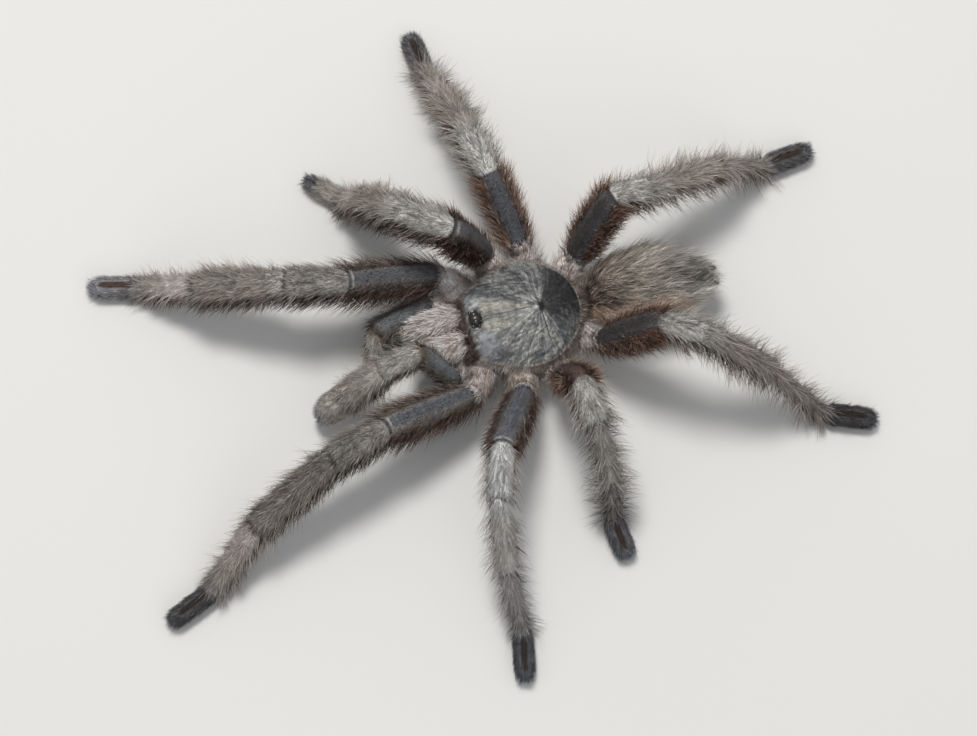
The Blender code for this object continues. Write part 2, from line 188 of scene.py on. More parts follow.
# The soft body under the coat: eight legs, two feelers, the jaws, the plate between the legs
# and the abdomen, all of one leathery skin. It is joined into one closed piece, a coat's
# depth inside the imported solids, and it stands for all of them.
def mesh_spots(mesh):
    """Corners of a mesh, in mm."""
    spots = np.empty(len(mesh.vertices) * 3)
    mesh.vertices.foreach_get("co", spots)
    return spots.reshape(-1, 3) / MM


def node_spots(name):
    """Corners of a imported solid, in mm."""
    return mesh_spots(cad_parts[name].data)


def unit(vectors):
    return vectors / np.maximum(np.linalg.norm(vectors, axis=-1, keepdims=True), 1e-9)


def square_to(normals, vectors):
    """Directions turned to lie at right angles to the normals."""
    return unit(vectors - normals * (vectors * normals).sum(1, keepdims=True))


def ramp(value, low, high):
    """Rises softly from 0 to 1 as the value goes from low to high."""
    share = np.clip((value - low) / (high - low), 0.0, 1.0)
    return share * share * (3.0 - 2.0 * share)


def fall(value, low, high):
    """Falls softly from 1 to 0 as the value goes from low to high."""
    return 1.0 - ramp(value, low, high)


def hump(value, middle, width):
    """A soft hump, 1 at the middle."""
    return np.exp(-((value - middle) / width) ** 2)


def mix(first, second, share):
    """A colour, or one for each place, on the way from the first to the second."""
    share = np.asarray(share)[..., None]
    return np.asarray(first) * (1.0 - share) + np.asarray(second) * share


def layered(tint, *layers):
    """Lays colours over a tint, one after another, each by its own share."""
    for colour, share in layers:
        tint = mix(tint, colour, share)
    return tint


def cloud(spots, size, seed):
    """Soft random values from 0 to 1, with lumps about size across."""
    places = spots / size + seed * 7.31
    cells = np.floor(places).astype(np.int64)
    share = places - cells
    share = share * share * (3.0 - 2.0 * share)
    total = 0.0
    for corner in np.ndindex(*(2,) * spots.shape[1]):
        key = ((cells + corner) * (73856093, 19349663, 83492791)[:spots.shape[1]]).sum(1)
        key = (key ^ (key >> 13)) * 1274126177
        value = ((key ^ (key >> 16)) & 0xFFFF) / 65535.0
        total = total + value * np.prod(np.where(corner, share, 1.0 - share), axis=1)
    return total


def stretched_cloud(across, along, seed):
    """Soft random values on a pattern that is drawn out one way."""
    return cloud(np.stack((across, along), -1), 1.0, seed)


def new_piece(name, spots, quads, tris, tint, unwrap=None):
    """An object from corners in mm, with its colours in the attribute 'tint'."""
    mesh = bpy.data.meshes.new(name)
    mesh.vertices.add(len(spots))
    mesh.vertices.foreach_set("co", (spots * MM).astype(np.float32).ravel())
    corners = np.concatenate((quads.ravel(), tris.ravel())).astype(np.int32)
    starts = np.concatenate((np.arange(len(quads)) * 4, len(quads) * 4 + np.arange(len(tris)) * 3))
    mesh.loops.add(len(corners))
    mesh.loops.foreach_set("vertex_index", corners)
    mesh.polygons.add(len(starts))
    mesh.polygons.foreach_set("loop_start", starts.astype(np.int32))
    mesh.update(calc_edges=True)
    if unwrap is not None:
        layer = mesh.uv_layers.new(name="OFBake")
        layer.data.foreach_set("uv", unwrap[corners].astype(np.float32).ravel())
    mesh.shade_smooth()
    piece = bpy.data.objects.new(name, mesh)
    bpy.context.scene.collection.objects.link(piece)
    if tint is not None:
        paint(piece, tint)
    return piece


def paint(piece, tint):
    layer = piece.data.attributes.new("tint", "FLOAT_VECTOR", "POINT")
    layer.data.foreach_set("vector", np.clip(tint, 0.0, 1.0).astype(np.float32).ravel())


def tube(rings):
    """A closed tube through rings of corners, its two ends closed by flat fans."""
    count, sides = rings.shape[:2]
    turn = np.arange(sides)
    after = (turn + 1) % sides
    rows = np.arange(count - 1)[:, None] * sides
    quads = np.stack((rows + turn, rows + after, rows + sides + after, rows + sides + turn), -1)
    ends = np.stack((rings[0].mean(0), rings[-1].mean(0)))
    last = (count - 1) * sides
    first_fan = np.stack((after, turn, np.full(sides, count * sides)), -1)
    last_fan = np.stack((last + turn, last + after, np.full(sides, count * sides + 1)), -1)
    spots = np.concatenate((rings.reshape(-1, 3), ends))
    return spots, quads.reshape(-1, 4), np.concatenate((first_fan, last_fan))


# The animal's own directions: its shell and its eyes tell which way it looks. Places on the
# front of its body start from the waist, just behind the shell.
UP = np.array((0.0, 0.0, 1.0))
shell_spots = node_spots("carapace")
shell_middle = shell_spots.mean(0)
AHEAD = unit((node_spots("eye_mound").mean(0) - shell_middle) * (1.0, 1.0, 0.0))
LEFT = np.array((-AHEAD[1], AHEAD[0], 0.0))
SHELL_REAR = (shell_middle + AHEAD * ((shell_spots - shell_middle) @ AHEAD).min()) * (1.0, 1.0, 0.0)
WAIST = SHELL_REAR - AHEAD * 0.9 - LEFT * 0.5


def body_place(sideways, forward, height, start=WAIST):
    """Places on the front of the body, in mm from the waist."""
    sideways, forward, height = np.broadcast_arrays(sideways, forward, height)
    return start + LEFT * sideways[..., None] + AHEAD * forward[..., None] + UP * height[..., None]


def body_shares(spots, start=WAIST):
    """How far places are to the animal's left of the waist, and ahead of it."""
    offset = spots - start
    return offset @ LEFT, offset @ AHEAD


LEG_PARTS = ("femur", "patella", "tibia", "metatarsus", "tarsus")
PALP_PARTS = ("femur", "patella", "tibia", "tarsus")
PART_ORDER = ("coxa",) + LEG_PARTS
LIMBS = {f"leg_{side}{pair}": LEG_PARTS for side in "LR" for pair in (1, 2, 3, 4)}
LIMBS.update({f"palp_{side}": PALP_PARTS for side in "LR"})
# Half widths of the skin at the start, middle and end of each length, first of a leg and then
# of a feeler.
SKIN_GIRTHS = {
    "coxa": (1.6, 1.95, 1.6),
    "femur": (1.6, 2.15, 1.95),
    "patella": (1.9, 2.3, 2.1),
    "tibia": (2.0, 2.35, 2.05),
    "metatarsus": (1.9, 1.85, 1.6),
    "tarsus": (1.6, 1.65, 1.45),
}
PALP_SKIN_GIRTHS = {
    "coxa": (1.3, 1.3, 1.1),
    "femur": (1.05, 1.25, 1.35),
    "patella": (1.55, 1.9, 1.8),
    "tibia": (1.85, 2.05, 2.05),
    "tarsus": (2.0, 2.05, 1.65),
}
# How slim each limb is beside those widths: its femur, patella, tibia, metatarsus and tarsus.
SLIMMING = {
    "leg_L1": (1.0, 1.0, 0.95, 0.88, 0.85), "leg_R1": (1.0, 1.0, 1.0, 0.88, 0.95),
    "leg_L2": (0.98, 0.84, 0.64, 0.62, 0.85), "leg_R2": (1.0, 0.98, 0.95, 0.86, 0.72),
    "leg_L3": (0.82, 0.84, 0.56, 0.54, 0.9), "leg_R3": (0.98, 0.92, 0.76, 0.72, 0.95),
    "leg_L4": (0.98, 0.86, 0.7, 0.54, 0.92), "leg_R4": (0.98, 0.86, 0.72, 0.58, 0.95),
    "palp_L": (1.0, 1.0, 1.1, 1.0, 1.12), "palp_R": (1.15, 0.8, 0.66, 1.0, 0.66),
}
# How tall each length is beside its width.
TALLNESS = {"coxa": 1.0, "femur": 1.08, "patella": 1.0, "tibia": 1.0, "metatarsus": 0.95,
            "tarsus": 0.86}
# How many times wider the hips are on their front and rear side, to reach the next ones: the
# feelers' and those of each pair of legs.
HIP_SPREAD = ((1.0, 1.0), (0.82, 1.3), (1.4, 1.4), (1.4, 1.3), (1.35, 0.8))
# How deep the skin is pinched in at the joint that each length ends with.
PINCHES = {"coxa": 0.2, "femur": 0.14, "patella": 0.07, "tibia": 0.09, "metatarsus": 0.02}
# Corners of a solid that are this little further from the next solid than its nearest one
# still belong to the joint, and those as near to its far end belong to the toe.
JOINT_GAP = 0.45
TOE_GAP = 0.4
# Distance between the rings that a limb's middle line is worked out on, and how widely its
# joints, its sideways direction, its width and its tallness are rounded off.
STEP = 0.1
BENDS = (1.5, 0.9)
TWIST_BENDS = (2.0, 1.5)
WIDTH_BEND = 0.5
TALL_BEND = 1.0
# Half lengths of a joint's pinch and of the low lips on both sides of it, how far off the lips
# are and how high, and the narrow place just past the hip: how far on, how long and how deep.
PINCH_SPAN = 0.26
LIP_SPANS = (0.35, 0.4)
LIP_OFF = 0.7
LIP_RISE = 0.02
NECK = (1.5, 0.3)
NECK_DEPTH = 0.14
# How long a toe's rounding is beside its half width, and how blunt it is.
TOE_ROUND = 1.9
TOE_BLUNT = 2.2
# The hips fan out from the plate between the legs: the middle of the fan from the waist, how
# much narrower it is at their roots, how far along each hip starts, and at what height.
PLATE_MIDDLE = 9.6
COXA_FAN = 0.55
COXA_INSET = 0.28
COXA_HEIGHT = 5.8


def ring_middle(ring, across):
    """Middle of the end of a barrel: halfway between its two corners furthest sideways."""
    reach = ring @ across
    return (ring[reach.argmax()] + ring[reach.argmin()]) / 2.0


def limb_corners(limb):
    """The joints of a limb from the body outwards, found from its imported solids."""
    nodes = ["underside"] + [f"{limb}_{part}" for part in LIMBS[limb]]
    corners = []
    for inner, outer in zip(nodes, nodes[1:]):
        first, second = node_spots(inner), node_spots(outer)
        gaps = np.linalg.norm(second[:, None] - first[None], axis=2).min(1)
        ring = second[gaps < gaps.min() + JOINT_GAP]
        across = unit(np.cross(second.mean(0) - ring.mean(0), UP))
        corners.append(ring_middle(ring, across))
    line = unit(second.mean(0) - corners[-1])
    reach = second @ line
    across = unit(np.cross(line, UP))
    corners.append(ring_middle(second[reach > reach.max() - TOE_GAP], across))
    hip = corners[0]
    forward = body_shares(hip)[1]
    root = body_place(0.0, PLATE_MIDDLE + (forward - PLATE_MIDDLE) * COXA_FAN, hip[2])
    start = root + (hip - root) * COXA_INSET
    start[2] = COXA_HEIGHT
    return np.array([start] + corners)


def smoothed(values, reach):
    """Running mean of rows a step apart, each end carried on straight."""
    pad = max(1, round(reach / STEP))
    steps = np.arange(1, pad + 1)[:, None]
    head = values[0] - (values[1] - values[0]) * steps[::-1]
    tail = values[-1] + (values[-1] - values[-2]) * steps
    padded = np.concatenate((head, values, tail))
    sums = np.cumsum(np.concatenate((np.zeros((1, values.shape[1])), padded)), axis=0)
    return (sums[2 * pad + 1:] - sums[:-2 * pad - 1]) / (2 * pad + 1)


def girth_at(girth, along):
    """A half width that runs evenly through those at the start, the middle and the end."""
    start, middle, end = girth
    off = along - 0.5
    return middle + (end - start) * off + 2.0 * (start + end - 2.0 * middle) * off ** 2


def limb_line(limb):
    """The middle line of a limb with its directions and half widths, a step apart."""
    corners = limb_corners(limb)
    parts = ("coxa",) + LIMBS[limb]
    lengths = np.linalg.norm(np.diff(corners, axis=0), axis=1)
    ends = np.concatenate(((0.0,), np.cumsum(lengths)))
    count = int(ends[-1] / STEP)
    reach = np.linspace(0.0, ends[-1], count + 1)
    middle = np.stack([np.interp(reach, ends, corners[:, axis]) for axis in range(3)], 1)
    for bend in BENDS:
        middle = smoothed(middle, bend)
    onward = unit(np.gradient(middle, axis=0))
    across = unit(np.cross(onward, UP))
    for bend in TWIST_BENDS:
        across = smoothed(across, bend)
    across = square_to(onward, across)
    number = np.clip(np.searchsorted(ends, reach, side="right") - 1, 0, len(parts) - 1)
    along = (reach - ends[number]) / lengths[number]
    table = SKIN_GIRTHS if limb.startswith("leg") else PALP_SKIN_GIRTHS
    width = np.zeros(len(reach))
    tall = np.zeros(len(reach))
    for index, part in enumerate(parts):
        here = number == index
        slim = dict(zip(LEG_PARTS, SLIMMING[limb])).get(part, 1.0)
        width[here] = girth_at(table[part], along[here]) * slim
        tall[here] = TALLNESS[part]
    width = smoothed(width[:, None], WIDTH_BEND)[:, 0]
    tall = smoothed(tall[:, None], TALL_BEND)[:, 0]
    for part, joint in zip(parts[:-1], ends[1:-1]):
        away = reach - joint
        lips = hump(away, -LIP_OFF, LIP_SPANS[0]) + hump(away, LIP_OFF, LIP_SPANS[1])
        width *= 1.0 - PINCHES[part] * hump(away, 0.0, PINCH_SPAN) + LIP_RISE * lips
    if limb.startswith("leg"):
        width *= 1.0 - NECK_DEPTH * hump(reach - ends[1], *NECK)
    tip_length = TOE_ROUND * width[-1]
    tip = np.clip((reach - ends[-1] + tip_length) / tip_length, 0.0, 1.0)
    rounding = np.sqrt(np.maximum(1.0 - tip ** TOE_BLUNT, 0.0))
    order = np.array([PART_ORDER.index(part) for part in parts])
    pair = int(limb[-1]) if limb.startswith("leg") else 0
    front, rear = HIP_SPREAD[pair] if "L" in limb else HIP_SPREAD[pair][::-1]
    fades = 1.0 - np.minimum(reach / ends[1], 1.0) ** 4
    sides = np.array([(across @ LEFT)[number == index].mean() for index in range(len(parts))])
    return {
        "name": limb, "side": limb.split("_")[1][0], "pair": pair, "reach": reach,
        "joints": ends[1:-1], "middle": middle, "onward": onward, "across": across,
        "upward": np.cross(across, onward), "part": order[number], "along": along,
        "width": width * rounding, "tall": tall, "wide_front": 1.0 + (front - 1.0) * fades,
        "wide_rear": 1.0 + (rear - 1.0) * fades, "left_side": np.append(sides, 0.0),
    }


LINES = {limb: limb_line(limb) for limb in LIMBS}

# Colours of the skin and of the coat that grows from it. First those on many parts.
INK = (0.022, 0.021, 0.024)
SLATE = (0.088, 0.092, 0.102)
NIGHT = (0.034, 0.034, 0.040)
RUST = (0.120, 0.066, 0.048)
UMBER = (0.042, 0.028, 0.021)
TAUPE = (0.230, 0.210, 0.188)
SILVER = (0.330, 0.325, 0.310)
BUFF = (0.560, 0.480, 0.420)
ROSY = (0.368, 0.328, 0.314)
VELVET = (0.150, 0.146, 0.152)
CREAM = (0.460, 0.405, 0.378)
# Hips: brown blotches and a pearly band.
BARK = (0.060, 0.040, 0.032)
PEARL = (0.270, 0.260, 0.262)
# Femora: the sooty top of the last pair, front flanks, lower flanks, pale lines and pale rim,
# and the foxy brown of the third left femur from its root on.
SOOT = (0.030, 0.024, 0.021)
FAWN = (0.120, 0.092, 0.074)
PEAT = (0.034, 0.020, 0.014)
PALE_LINE = (0.150, 0.130, 0.112)
PALE_RIM = (0.300, 0.285, 0.265)
FOX_ROOT = (0.150, 0.110, 0.092)
FOX = (0.060, 0.034, 0.026)
# The second right femur: its top, darkened with painted shade, and its sandy root.
SHADED_TOP = (0.040, 0.030, 0.026)
SANDY_ROOT = (0.300, 0.240, 0.200)
# Knees with a brown start, and feet: their grey-blue end and their bare stripe.
BROWN_KNEE = (0.050, 0.030, 0.022)
GREY_TOE = (0.165, 0.172, 0.192)
BARE = (0.022, 0.013, 0.009)
# Feelers: smooth top and pale flank of the femur, and the brown at each of the next joints.
FEELER_TOP = (0.122, 0.127, 0.131)
FEELER_FLANK = (0.220, 0.200, 0.180)
FEELER_JOINTS = ((0.050, 0.034, 0.020), (0.075, 0.052, 0.030), (0.100, 0.088, 0.075))
FEELER_TOE = (0.190, 0.190, 0.200)

# Half the angle that the bare stripe on a foot takes up, for the feelers and each pair of legs.
FOOT_STRIPE = (0.3, 0.5, 0.44, 0.5, 0.5)
# For each limb: how dim its femur's flanks are, how silvery its patella is, and how light its
# hip, patella, tibia, metatarsus and foot are.
LIMB_LOOKS = {
    "leg_L1": (0.5, 0.2, 1.9, 1.3, 1.3, 2.1, 0.8), "leg_R1": (0.8, 0.25, 3.6, 1.5, 2.15, 2.8, 2.5),
    "leg_L2": (0.7, 0.95, 1.4, 2.05, 2.9, 1.35, 0.8), "leg_R2": (0.4, 0.6, 1.9, 2.0, 2.45, 2.4, 2.4),
    "leg_L3": (0.9, 0.75, 1.9, 1.9, 2.0, 0.85, 1.1), "leg_R3": (0.9, 1.0, 1.5, 2.4, 2.35, 2.3, 1.1),
    "leg_L4": (0.9, 0.85, 1.5, 2.0, 1.9, 1.4, 0.65), "leg_R4": (0.9, 0.7, 2.2, 2.3, 2.8, 2.1, 1.1),
    "palp_L": (0.4, 0.6, 1.9, 1.9, 2.5, 2.5, 2.5), "palp_R": (0.4, 0.6, 1.9, 2.1, 2.8, 2.5, 2.2),
}
FEMUR_LIGHT = 1.6


def oval_at(line, along, away):
    """Under 1 inside the bare stripe on top of a foot."""
    return (away / FOOT_STRIPE[line["pair"]]) ** 2 + ((along - 0.46) / 0.4) ** 4


def leftness(line, part, turn):
    """How far the skin here faces the animal's left, from -1 to 1."""
    return line["left_side"][np.minimum(part, len(line["left_side"]) - 1)] * np.sin(turn)


def coxa_tint(along, away, wander, spots):
    """A hip: cream above and brown below, with brown blotches, a dark joint and a pearly band."""
    return layered(
        CREAM,
        (UMBER, ramp(away + 0.3 * wander, 1.6, 2.3)),
        (RUST, 0.6 * ramp(wander, 0.1, 0.25)),
        (BARK, 0.85 * ramp(cloud(spots, 1.3, 6), 0.62, 0.74)),
        (INK, 0.85 * hump(along + 0.1 * wander, 0.62, 0.02) + 0.5 * ramp(along, 0.95, 1.0)),
        (PEARL, 0.5 * hump(along, 0.8, 0.1) * fall(away, 0.6, 1.2)))


def femur_tint(line, along, turn, low, wander, dim):
    """A femur: slate on top, rust on the flanks and brown below, with a cream root and dark ends."""
    away = np.abs(turn)
    if line["pair"] == 0:
        smooth = mix(FEELER_TOP, FEELER_FLANK, ramp(away, 0.8, 1.3))
        return mix(smooth, FEELER_JOINTS[0], 0.8 * ramp(along, 0.9, 0.97))
    hind = line["pair"] >= 3
    flank = mix(FAWN, RUST, 0.25 + 0.75 * hind)
    pale_lines = (line["name"] == "leg_R1") * (hump(turn, -0.62, 0.14) + hump(turn, 0.5, 0.1))
    tint = layered(
        mix(SLATE, NIGHT, 0.1 + 0.35 * hind),
        (SOOT, 0.85 * (line["pair"] == 4)),
        (mix(TAUPE, NIGHT, dim), ramp(away, 0.36, 0.52)),
        (INK, 0.8 * hump(away, 0.32, 0.06) * ramp(along, 0.1, 0.16)),
        (flank, ramp(away + 0.35 * wander, 0.86 - 0.14 * hind, 1.15 - 0.14 * hind)),
        # Brown below: the hair's own colour, reaching higher on the side away from the lamp as painted
        # shade.
        (PEAT, ramp(low + 0.3 * wander, 1.2 + 0.5 * hind, 1.7 + 0.6 * hind)),
        (PALE_LINE, 0.6 * pale_lines),
        (CREAM, 0.75 * fall(along, 0.06, 0.085) * fall(away, 1.6, 2.4)),
        (INK, 0.8 * hump(along, 0.095, 0.014)),
        (PALE_RIM, 0.7 * (1.0 - hind) * hump(along, 0.974, 0.007) * fall(away, 0.9, 1.4)),
        (INK, (0.8 - 0.3 * hind) * ramp(along, 0.98, 0.99)))
    if line["name"] == "leg_R2":
        # Painted shade: the second right femur's top is darkened, more so down its sides.
        tint = layered(tint, (SHADED_TOP, 0.2 + 0.65 * ramp(away, 0.2, 0.7)),
                       (SANDY_ROOT, 0.9 * fall(along + 0.1 * wander, 0.07, 0.13)))
    if line["name"] == "leg_L3":
        tint = mix(tint, mix(FOX_ROOT, FOX, ramp(along, 0.15, 0.45)), 0.85)
    return tint


def patella_tint(line, along, away, ragged, silver):
    """A knee: silvery grey on top, with two dark slits side by side and dark ends."""
    hind = line["pair"] >= 3
    slits = hump(away, 0.3, 0.11) * hump(along, 0.66, 0.18)
    tint = layered(
        TAUPE,
        (SILVER, silver * (1.0 - 0.6 * ramp(away, 0.8, 1.6))),
        # Brown below, reaching higher on the side away from the lamp as painted shade.
        (UMBER, 0.9 * ramp(ragged, 1.25, 1.7)),
        (INK, np.clip(1.2 * slits, 0.0, 0.9)),
        (BROWN_KNEE, 0.8 * (line["name"] in ("leg_L3", "leg_L4")) * fall(along, 0.03, 0.15)))
    return layered(
        tint * (1.0 - 0.15 * hind + 0.3 * hind * hump(along, 0.55, 0.25))[:, None],
        (INK, 0.7 * fall(along, 0.0, 0.03)),
        (INK, 0.75 * ramp(along, 0.955, 0.985)),
        (FEELER_JOINTS[1], 0.8 * (line["pair"] == 0) * fall(along, 0.04, 0.16)))


def tibia_tint(line, along, away, ragged, silver):
    """A tibia: taupe, silvery where it starts, with two thin dark lines along its top."""
    lines = hump(away, 0.27, 0.05) * ramp(along, 0.02, 0.08) * fall(along, 0.65, 0.9)
    return layered(
        TAUPE,
        # Brown below, reaching higher on the side away from the lamp as painted shade.
        (UMBER, 0.9 * ramp(ragged, 1.25, 1.7)),
        (SILVER, 0.6 * silver * fall(along, 0.0, 0.35)),
        (NIGHT, 0.6 * lines),
        (INK, 0.85 * ramp(along, 0.94, 0.975)),
        (FEELER_JOINTS[2], 0.7 * (line["pair"] == 0) * fall(along, 0.06, 0.14)))


def metatarsus_tint(line, along, away, wander, ragged):
    """A metatarsus: rosy where it starts, then taupe, and velvety grey at its end."""
    return layered(
        ROSY,
        (TAUPE, ramp(along + 0.5 * wander + 0.25 * (line["pair"] >= 3), 0.25, 0.8)),
        # Brown below, reaching higher on the side away from the lamp as painted shade.
        (UMBER, 0.85 * ramp(ragged, 1.3, 1.8)),
        (VELVET, 0.85 * ramp(along, 0.72, 0.95)),
        (NIGHT, 0.3 * hump(away, 0.0, 0.1) * ramp(along, 0.02, 0.1) * fall(along, 0.5, 0.8)))


def tarsus_tint(line, along, away, wander, fine):
    """A foot: grey velvet round a bare brown stripe. The feelers' have none."""
    if line["pair"] == 0:
        return mix(TAUPE, FEELER_TOE, ramp(along, 0.55, 0.95))
    tint = layered(
        VELVET,
        (GREY_TOE, ramp(along, 0.75, 1.0)),
        (BARE, fall(oval_at(line, along, away) + 0.5 * fine, 0.35, 1.3)),
        (UMBER, 0.4 * ramp(away, 2.0, 2.8)))
    if line["name"] == "leg_R2":
        tint = mix(TAUPE, tint * 0.5, ramp(along + 0.3 * wander, 0.45, 0.75))
    return tint


def limb_tint(line, part, along, turn, spots):
    """Colour of a limb: part number, share of its length, and angle from its top."""
    away = np.abs(turn)
    # Painted shade: 'low' makes the brown below reach higher up the side that faces the animal's left,
    # away from the main lamp, and less high on the side towards it, twice as much on the second right
    # leg. It darkens the femora's lower flanks here and, through 'ragged', the brown below on the next
    # lengths.
    low = away + (0.6 if line["name"] == "leg_R2" else 0.3) * leftness(line, part, turn)
    wander = cloud(spots, 2.2, 3) - 0.5
    fine = cloud(spots, 0.7, 4) - 0.5
    ragged = low + 0.4 * wander
    dim, silver, hip_light, *lights = LIMB_LOOKS[line["name"]]
    kinds = (coxa_tint(along, away, wander, spots), femur_tint(line, along, turn, low, wander, dim),
             patella_tint(line, along, away, ragged, silver),
             tibia_tint(line, along, away, ragged, silver),
             metatarsus_tint(line, along, away, wander, ragged),
             tarsus_tint(line, along, away, wander, fine))
    tint = np.choose(part[:, None], kinds)
    # The second left leg: its hip a little warmer, and the lengths beyond it a little bluer, a cool
    # cast painted in for blue skylight.
    if line["name"] == "leg_L2":
        tint = tint * mix((1.0, 0.97, 0.9), (1.0, 1.02, 1.06), part > 0)
    light = np.choose(part, (hip_light, FEMUR_LIGHT, *lights))
    return tint * (light * (1.0 + 0.3 * wander + 0.25 * fine))[:, None]


SIDES_ROUND = 24
ROUND = np.arange(SIDES_ROUND) * 2.0 * pi / SIDES_ROUND
# Distance between a limb's rings at its joints and tip, and elsewhere.
FINE_RINGS = 0.2
WIDE_RINGS = 0.45


def surface_at(line, reach, turn):
    """Places on a limb's skin, with the outward, onward and sideways directions there."""
    def read(key):
        rows = line[key]
        if rows.ndim == 1:
            return np.interp(reach, line["reach"], rows)
        return np.stack([np.interp(reach, line["reach"], rows[:, axis]) for axis in range(3)], 1)

    width, tall = read("width"), read("tall")
    across, upward, onward = read("across"), read("upward"), read("onward")
    side = np.sin(turn)
    top = np.cos(turn)
    wide = width * np.where(side > 0.0, read("wide_front"), read("wide_rear"))
    spots = (read("middle") + across * (wide * side)[:, None]
             + upward * (width * tall * top)[:, None])
    outward = unit(across * (side * tall)[:, None] + upward * top[:, None])
    around = unit(np.cross(outward, onward))
    return spots, outward, unit(onward), around


def part_at(line, reach):
    """Number of the length that a place is on, and its share of that length."""
    spot = np.clip((reach / STEP).astype(int), 0, len(line["part"]) - 1)
    along = np.interp(reach, line["reach"], line["along"] + line["part"] * 2.0) % 2.0
    return line["part"][spot], along


def straight_on(turn):
    """Angles from the top, from -pi to pi."""
    return (turn + pi) % (2 * pi) - pi


def with_ends(tint):
    """Colours for a tube, whose two end fans have a corner each."""
    return np.concatenate((tint, tint[:1], tint[-1:]))


def limb_tube(line):
    """The skin of one limb as a closed tube, with rings close together at the joints."""
    wanted = [0.0]
    while wanted[-1] < line["reach"][-1] - 0.02:
        joint = np.abs(line["joints"] - wanted[-1]).min()
        tip = line["reach"][-1] - wanted[-1]
        wanted.append(wanted[-1] + (FINE_RINGS if joint < 1.5 or tip < 2.0 else WIDE_RINGS))
    reach = np.repeat(np.minimum(wanted, line["reach"][-1] - 0.01), SIDES_ROUND)
    turn = np.tile(ROUND, len(wanted))
    spots = surface_at(line, reach, turn)[0]
    part, along = part_at(line, reach)
    tint = limb_tint(line, part, along, straight_on(turn), spots)
    return *tube(spots.reshape(-1, SIDES_ROUND, 3)), with_ends(tint)


LUMP_RINGS = 23


def lump(middle, halves, blunt):
    """A rounded block on the front of the body: middle and half sizes sideways, ahead and up."""
    rows = np.linspace(0.0, pi, LUMP_RINGS + 2)[1:-1]
    level = np.cos(rows)
    size = np.sin(rows)[:, None] ** (2.0 / blunt)
    sideways = middle[0] + halves[0] * size * np.cos(ROUND)
    height = middle[2] + halves[2] * size * np.sin(ROUND)
    forward = middle[1] + halves[1] * np.sign(level) * np.abs(level) ** (2.0 / blunt)
    return tube(body_place(sideways, forward[:, None], height))


# How thick a jaw is at some distances from the waist, beside its thickest place.
JAW_SIZES = ((18.0, 0.6), (19.2, 0.78), (20.4, 0.9), (21.6, 0.97), (23.0, 1.0), (24.4, 0.98),
             (25.6, 0.92), (26.5, 0.8), (27.2, 0.62), (27.6, 0.36))
JAW_HALF = 1.88
JAW_HALF_TALL = 2.2
JAW_ASIDE = 2.15
JAW_HEIGHT = 8.2
JAW_DROP = 0.8
JAW_RINGS = 34


def jaw(sign):
    """One jaw: a long hairy bulge from under the front of the shell, bent down at its end."""
    places, sizes = np.array(JAW_SIZES).T
    forward = np.linspace(places[0], places[-1], JAW_RINGS)[:, None]
    size = smoothed(np.interp(forward, places, sizes), STEP)
    height = JAW_HEIGHT - JAW_DROP * ((forward - places[0]) / (places[-1] - places[0])) ** 2
    sideways = sign * JAW_ASIDE + JAW_HALF * size * np.cos(ROUND)
    return tube(body_place(sideways, forward, height + JAW_HALF_TALL * size * np.sin(ROUND)))


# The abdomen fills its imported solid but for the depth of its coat, and is a little flat.
box_low, box_high = (np.array(corner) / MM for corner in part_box("abdomen"))
ABDOMEN_MIDDLE = (box_low[0] + box_high[0]) / 2.0
ABDOMEN_START = box_low[1]
ABDOMEN_LENGTH = box_high[1] - box_low[1] - 0.6
ABDOMEN_COAT = 1.9
ABDOMEN_HALF = (box_high[0] - box_low[0]) / 2.0 - ABDOMEN_COAT
ABDOMEN_TALL = 12.6 / 14.6
# It is held at this height, lower at the waist and at the tail. Its widest place is shifted a
# little ahead of its middle, to this share of its length, and it is rounded off more bluntly
# towards the waist than towards the tail. Its folds underneath are shallow.
ABDOMEN_LEVEL = 8.6
WAIST_DROP = 2.2
TAIL_DROP = 1.2
SHIFT = 0.92
WIDEST = 0.47
WAIST_BLUNT = 2.4
TAIL_BLUNT = 2.05
WAIST_HALF = 1.35
FOLD_DEPTH = 0.06
FOLD_RATE = 55.0
ABDOMEN_RINGS = 44
ABDOMEN_SIDES = 40
ABDOMEN_TIP = 0.985
# Its colours: olive in front, oat behind, red at the waist, sand and grey on its left and right
# flank, and nearly black streaks on the tail.
OLIVE = (0.600, 0.520, 0.430)
OAT = (0.700, 0.670, 0.615)
RED_WAIST = (0.115, 0.074, 0.056)
SAND = (0.880, 0.620, 0.460)
GREY_FLANK = (0.620, 0.590, 0.530)
TAIL_STREAK = (0.032, 0.018, 0.012)


def abdomen_at(share, turn):
    """Places on the abdomen's skin: share from the waist to the tail, angle from its top."""
    step = 0.5 - 0.5 * np.cos(pi * share)
    bulge = np.abs(2.0 * step ** SHIFT - 1.0) ** np.where(step > WIDEST, TAIL_BLUNT, WAIST_BLUNT)
    swell = np.sqrt(np.maximum(1.0 - bulge, 0.0))
    width = np.maximum(WAIST_HALF, swell * ABDOMEN_HALF) * np.where(step > 0.5, swell ** 0.01, 1.0)
    width = np.where(step > 0.97, ABDOMEN_HALF * swell, width)
    level = ABDOMEN_LEVEL - WAIST_DROP * (1.0 - step) ** 3 - TAIL_DROP * step ** 3
    fold = FOLD_DEPTH * np.sin(step * FOLD_RATE) * hump(np.cos(turn), -0.2, 0.7)
    far = ABDOMEN_START + step * ABDOMEN_LENGTH
    return np.stack((ABDOMEN_MIDDLE + (width + fold) * np.sin(turn), far,
                     level + (width + fold) * ABDOMEN_TALL * np.cos(turn)), -1)


